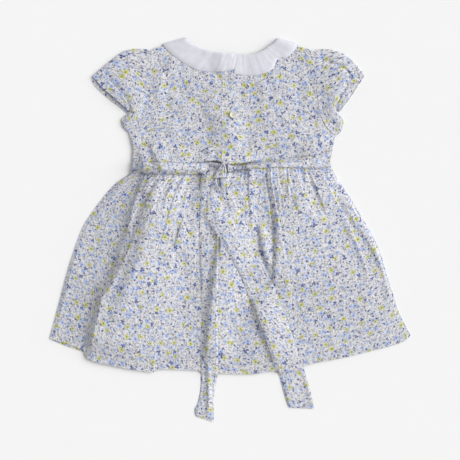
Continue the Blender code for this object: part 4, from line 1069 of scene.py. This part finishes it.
TAIL_LEFT = (
    ((-36, 76.5), (-38.5, 68), (-40, 48), (-40.5, 18), (-40.1, -41), (-39.5, -110), (-39.6, -193),
     (-40.2, -216), (-44, -234), (-48.3, -243), (-46.8, -252)),
    ((-13, 80), (-14, 70), (-15, 30), (-14.9, -14), (-15.5, -58), (-16, -111), (-16.3, -193), (-21, -216),
     (-22, -234), (-22, -260.3)),
)
TAIL_RIGHT = (
    ((-21, 69), (-27.5, 52), (-27.5, 34), (-24, 20), (-19.6, 2.4), (-11.3, -14), (5.3, -44.4), (16.2, -65),
     (26.3, -92), (38, -117), (51, -155), (63, -190), (68.4, -202), (74, -224), (79, -240)),
    ((-4, 67), (4, 48), (13, 28), (24, 5), (35, -20), (43.7, -40), (53.5, -61), (62.9, -85), (73, -110.6),
     (85.5, -146), (98.6, -184), (108.7, -219), (114, -242.5)),
)
KNOT = (
    ((-24, 68.5), (-16, 69.5), (-6, 70)), ((-12.5, 87), (-10, 89), (-7, 89)),
    ((-24, 68.5), (-18.5, 77), (-12.5, 87)), ((-6, 70), (-4.5, 79), (-7, 89)))
RIGHT_SIDE_CREASE = (((112, 97, 2, 8, 0), (118, 101, 2, 8, 0.9), (124, 105, 2, 6, 0.9), (128, 108, 2, 5, 0)),)
TAIL_CREASES = {
    "left": (
        ((-29, 60, 3, 8, 0), (-29.2, 48, 4, 10, 0.9), (-29.2, 30, 4, 12, 1.0), (-28, 18, 4, 12, 0)),
        ((-29.4, -176, 5, 7, 0), (-29.2, -186, 5, 6, 1.4), (-29.2, -205, 5, 6, 2.2),
         (-29.2, -228, 5, 6, 2.0), (-30, -250, 5, 6, 1.0)),
    ),
    "right": (
        ((63, -192, 6, 20, 0), (72, -212, 6, 24, 0.9), (80, -236, 6, 24, 0.9)),
        ((98, -190, 5, 3, 0), (106, -212, 6, 3, 1.2), (112, -236, 6, 3, 1.2)),
    ),
}
TAIL_DIPS = {
    "left": (
        ((-44, -50, 8, 8, 0), (-38, -90, 10, 6, -0.5), (-36, -140, 8, 6, -0.5), (-36, -170, 6, 6, 0)),
    ),
    "right": (
        ((-6.3, 60, 1.0, 2.4, 0), (-6.3, 56, 1.1, 2.4, -1.3), (-6, 47, 1.1, 2.4, -1.3),
         (-6, 42, 1, 2.4, 0)),
    ),
}
# The hole under the knot, where the right tail comes out over the left one.
KNOT_HOLE = (
    ((-16.0, 74, 2.6, 3.0, -4), (-15.6, 64, 2.6, 3.2, -4), (-14.2, 59, 2.2, 2.8, -3.5),
     (-12, 54.5, 1.2, 1.6, 0)),
)
KNOT_DIPS = (
    ((-9, 86, 0.8, 1.4, 0), (-8.2, 80, 1.0, 1.8, -1.0), (-7.4, 72, 1.0, 1.8, -1.0)),
    ((-11.5, 83, 0.8, 1.8, 0), (-13.6, 77, 1.0, 2.2, -0.8), (-16, 71, 1.0, 2.2, -0.8)),
)
KNOT_MIDDLE = (-11.5, 79.5)
KNOT_REACH = 6          # the knot bridges hollows up to about twice this wide
SASH_WALL = 1.1         # two layers of lawn; the flat tails and the knot are pressed thinner
TAIL_WALL = 0.5
KNOT_WALL = 0.7
CORD_RISE = 8.4         # height of the rolled left side
EDGE_SHARE = 0.22       # share of a band's half width over which it is pressed thin


def banded(node, place, columns, rows, relief, reach=5, offset=(0, 0),
           thickness=SASH_WALL, close=0.0):
    """A piece of the sash, laid on what it crosses: its edges follow that more closely than its middle.

    close is the share of the rows that lie closer together, at the start.
    """
    u, v = grid(columns, rows)
    u = 0.5 - 0.5 * np.cos(pi * u)
    v = np.interp(v, (0, close, 1), (0, 0.4 * close, 1))
    xy = place(u, v)
    fullness = ease((1 - np.abs(2 * u - 1)) / EDGE_SHARE)
    level = bridged(u, xy, reach) + AIR + thickness * (PRESSED + (1 - PRESSED) * fullness)
    points = raised(xy, level + relief(u, v, xy))
    cloth(node, points, offset=offset, thickness=thickness, fullness=fullness)
    lay(points)


def bridged(u, xy, reach):
    """Level of what a band lies on, bridged at its middle but not at its edges."""
    edge = np.abs(2 * u - 1) ** 3
    return edge * under(xy, 1) + (1 - edge) * under(xy, reach)


def right_side_relief(u, v, xy):
    """Its lower edge is rolled under, and it is drawn together towards the knot (v = 1)."""
    roll = (1.6 + 2.0 * ease(v * 2)) * np.clip(u / 0.75, 0, 1) ** 0.8 * (1 - 0.35 * u)
    crease = fold_heights(RIGHT_SIDE_CREASE, xy, "crest")
    return (roll + crease + 0.5 * waver(xy, 13, 51)) * ease((1 - u) / 0.12)


def left_side_relief(u, v, xy):
    """It is rolled to a cord: a steep lower side, and an upper side that runs up to the bodice.

    Towards the knot it turns over, so that it rises to its upper edge and to the right.
    """
    steep = CORD_RISE * np.clip(u / 0.44, 0, 1) * (1 - 0.6 * np.clip((u - 0.44) / 0.56, 0, 1))
    turned = 4.5 * u + 4.0 * ease((v - 0.80) / 0.20)
    turn = ease((v - 0.78) / 0.10)
    relief = (1 - turn) * steep + turn * turned
    return (relief * ease((v - 0.03) / 0.12) + 0.5 * waver(xy, 9, 52) * np.sin(pi * u)) * ease((1 - u) / 0.08)


def tail_relief(side, seed):
    """Creases and dips; near the knot the left tail rises to it and the right one puffs out round a hole."""
    def relief(u, v, xy):
        hole = fold_heights(KNOT_HOLE, xy, "pit", "pit")
        if side == "left":
            rising = 3.0 * ease((xy[..., 1] - 50) / 18) * ease((-15 - xy[..., 0]) / 3)
            near_knot = np.maximum(rising + hole, 0)
        else:
            near_knot = np.maximum(hole, -3.0)
        return (fold_heights(TAIL_DIPS[side], xy) + fold_heights(TAIL_CREASES[side], xy, "crest") + near_knot
                + 0.3 * waver(xy, 19, seed) * (1 - np.abs(2 * u - 1)))
    return relief


def knot_relief(u, v, xy):
    """Highest near its right side, with creases that spread from the top."""
    top = under(np.array([KNOT_MIDDLE]), KNOT_REACH)[0] + 0.6 + 2.4 * u
    dome = (top - bridged(u, xy, KNOT_REACH)) * ease(u / 0.1) * ease((1 - u) / 0.1)
    return (dome * ease(v / 0.3) * ease((1 - v) / 0.15) + fold_heights(KNOT_DIPS, xy)
            + 0.3 * waver(xy, 5, 55))


banded("sash_right", strip(*map(path, SASH_RIGHT[::-1])), 30, 120, right_side_relief,
       offset=(40, 200))
banded("sash_left", strip(*map(path, SASH_LEFT[::-1])), 30, 120, left_side_relief,
       reach=1, offset=(90, 200))
banded("sash_tail_left", strip(*map(path, TAIL_LEFT)), 34, 240, tail_relief("left", 53),
       reach=1, offset=(140, 0), thickness=TAIL_WALL, close=0.3)
banded("sash_tail_right", strip(*map(path, TAIL_RIGHT)), 56, 280, tail_relief("right", 54),
       reach=2, offset=(190, 0),
       thickness=TAIL_WALL, close=0.4)
banded("sash_knot", patch(*map(path, KNOT)), 60, 60, knot_relief,
       reach=KNOT_REACH, offset=(240, 60), thickness=KNOT_WALL)

# ---------------------------------------------------------------------------
# The table it lies on, a board in matt white paint, with the light and the camera straight above.
VIEW_WIDTH = 0.621      # what the picture takes in, at the level of the cloth
VIEW_MIDDLE = (0, -0.0003)
LENS = 85.0
SENSOR = 36.0
CLOTH_LEVEL = 0.004
BOARD_HALF = 4000
BRUSH_SIZE = 40         # mm across the faint patches that a paint roller leaves
ROOM_LIGHT = 0.445
KEY_ENERGY = 3.25
KEY_SPREAD = 50         # degrees
KEY_TILT = (-10, 57)

# Matt white paint: even, with patches so faint that they hardly show.
paint, tree, shader = new_finish("White painted board", Roughness=0.9, Specular_IOR_Level=0.1)
patches = add(tree, "TexNoise", {"Vector": add(tree, "TexCoord")["Object"], "Scale": 1000 / BRUSH_SIZE,
                                 "Detail": 3.0})[0]
tint = add(tree, "Mix", {0: patches, 6: linear("#F4F4F4"), 7: linear("#F6F6F6")}, data_type="RGBA")[2]
tree.links.new(tint, shader.inputs["Base Color"])
corners = [(x * BOARD_HALF, y * BOARD_HALF, 0) for x, y in ((-1, -1), (1, -1), (1, 1), (-1, 1))]
new_piece("floor", corners, [(0, 1, 2, 3)], paint)

world = bpy.data.worlds.new("Soft room light")
world.use_nodes = True
world.node_tree.nodes["Background"].inputs["Color"].default_value = (1, 1, 1, 1)
world.node_tree.nodes["Background"].inputs["Strength"].default_value = ROOM_LIGHT
bpy.context.scene.world = world

key = bpy.data.lights.new("Key light", "SUN")
key.energy = KEY_ENERGY
key.angle = radians(KEY_SPREAD)
key_lamp = bpy.data.objects.new("Key light", key)
key_lamp.rotation_euler = (*map(radians, KEY_TILT), 0)
bpy.context.scene.collection.objects.link(key_lamp)

camera = bpy.data.cameras.new("Camera")
camera.lens = LENS
camera.sensor_width = SENSOR
eye = bpy.data.objects.new("Camera", camera)
eye.location = (*VIEW_MIDDLE, VIEW_WIDTH * LENS / SENSOR + CLOTH_LEVEL)
bpy.context.scene.collection.objects.link(eye)
bpy.context.scene.camera = eye
bpy.context.scene.view_settings.view_transform = "Standard"
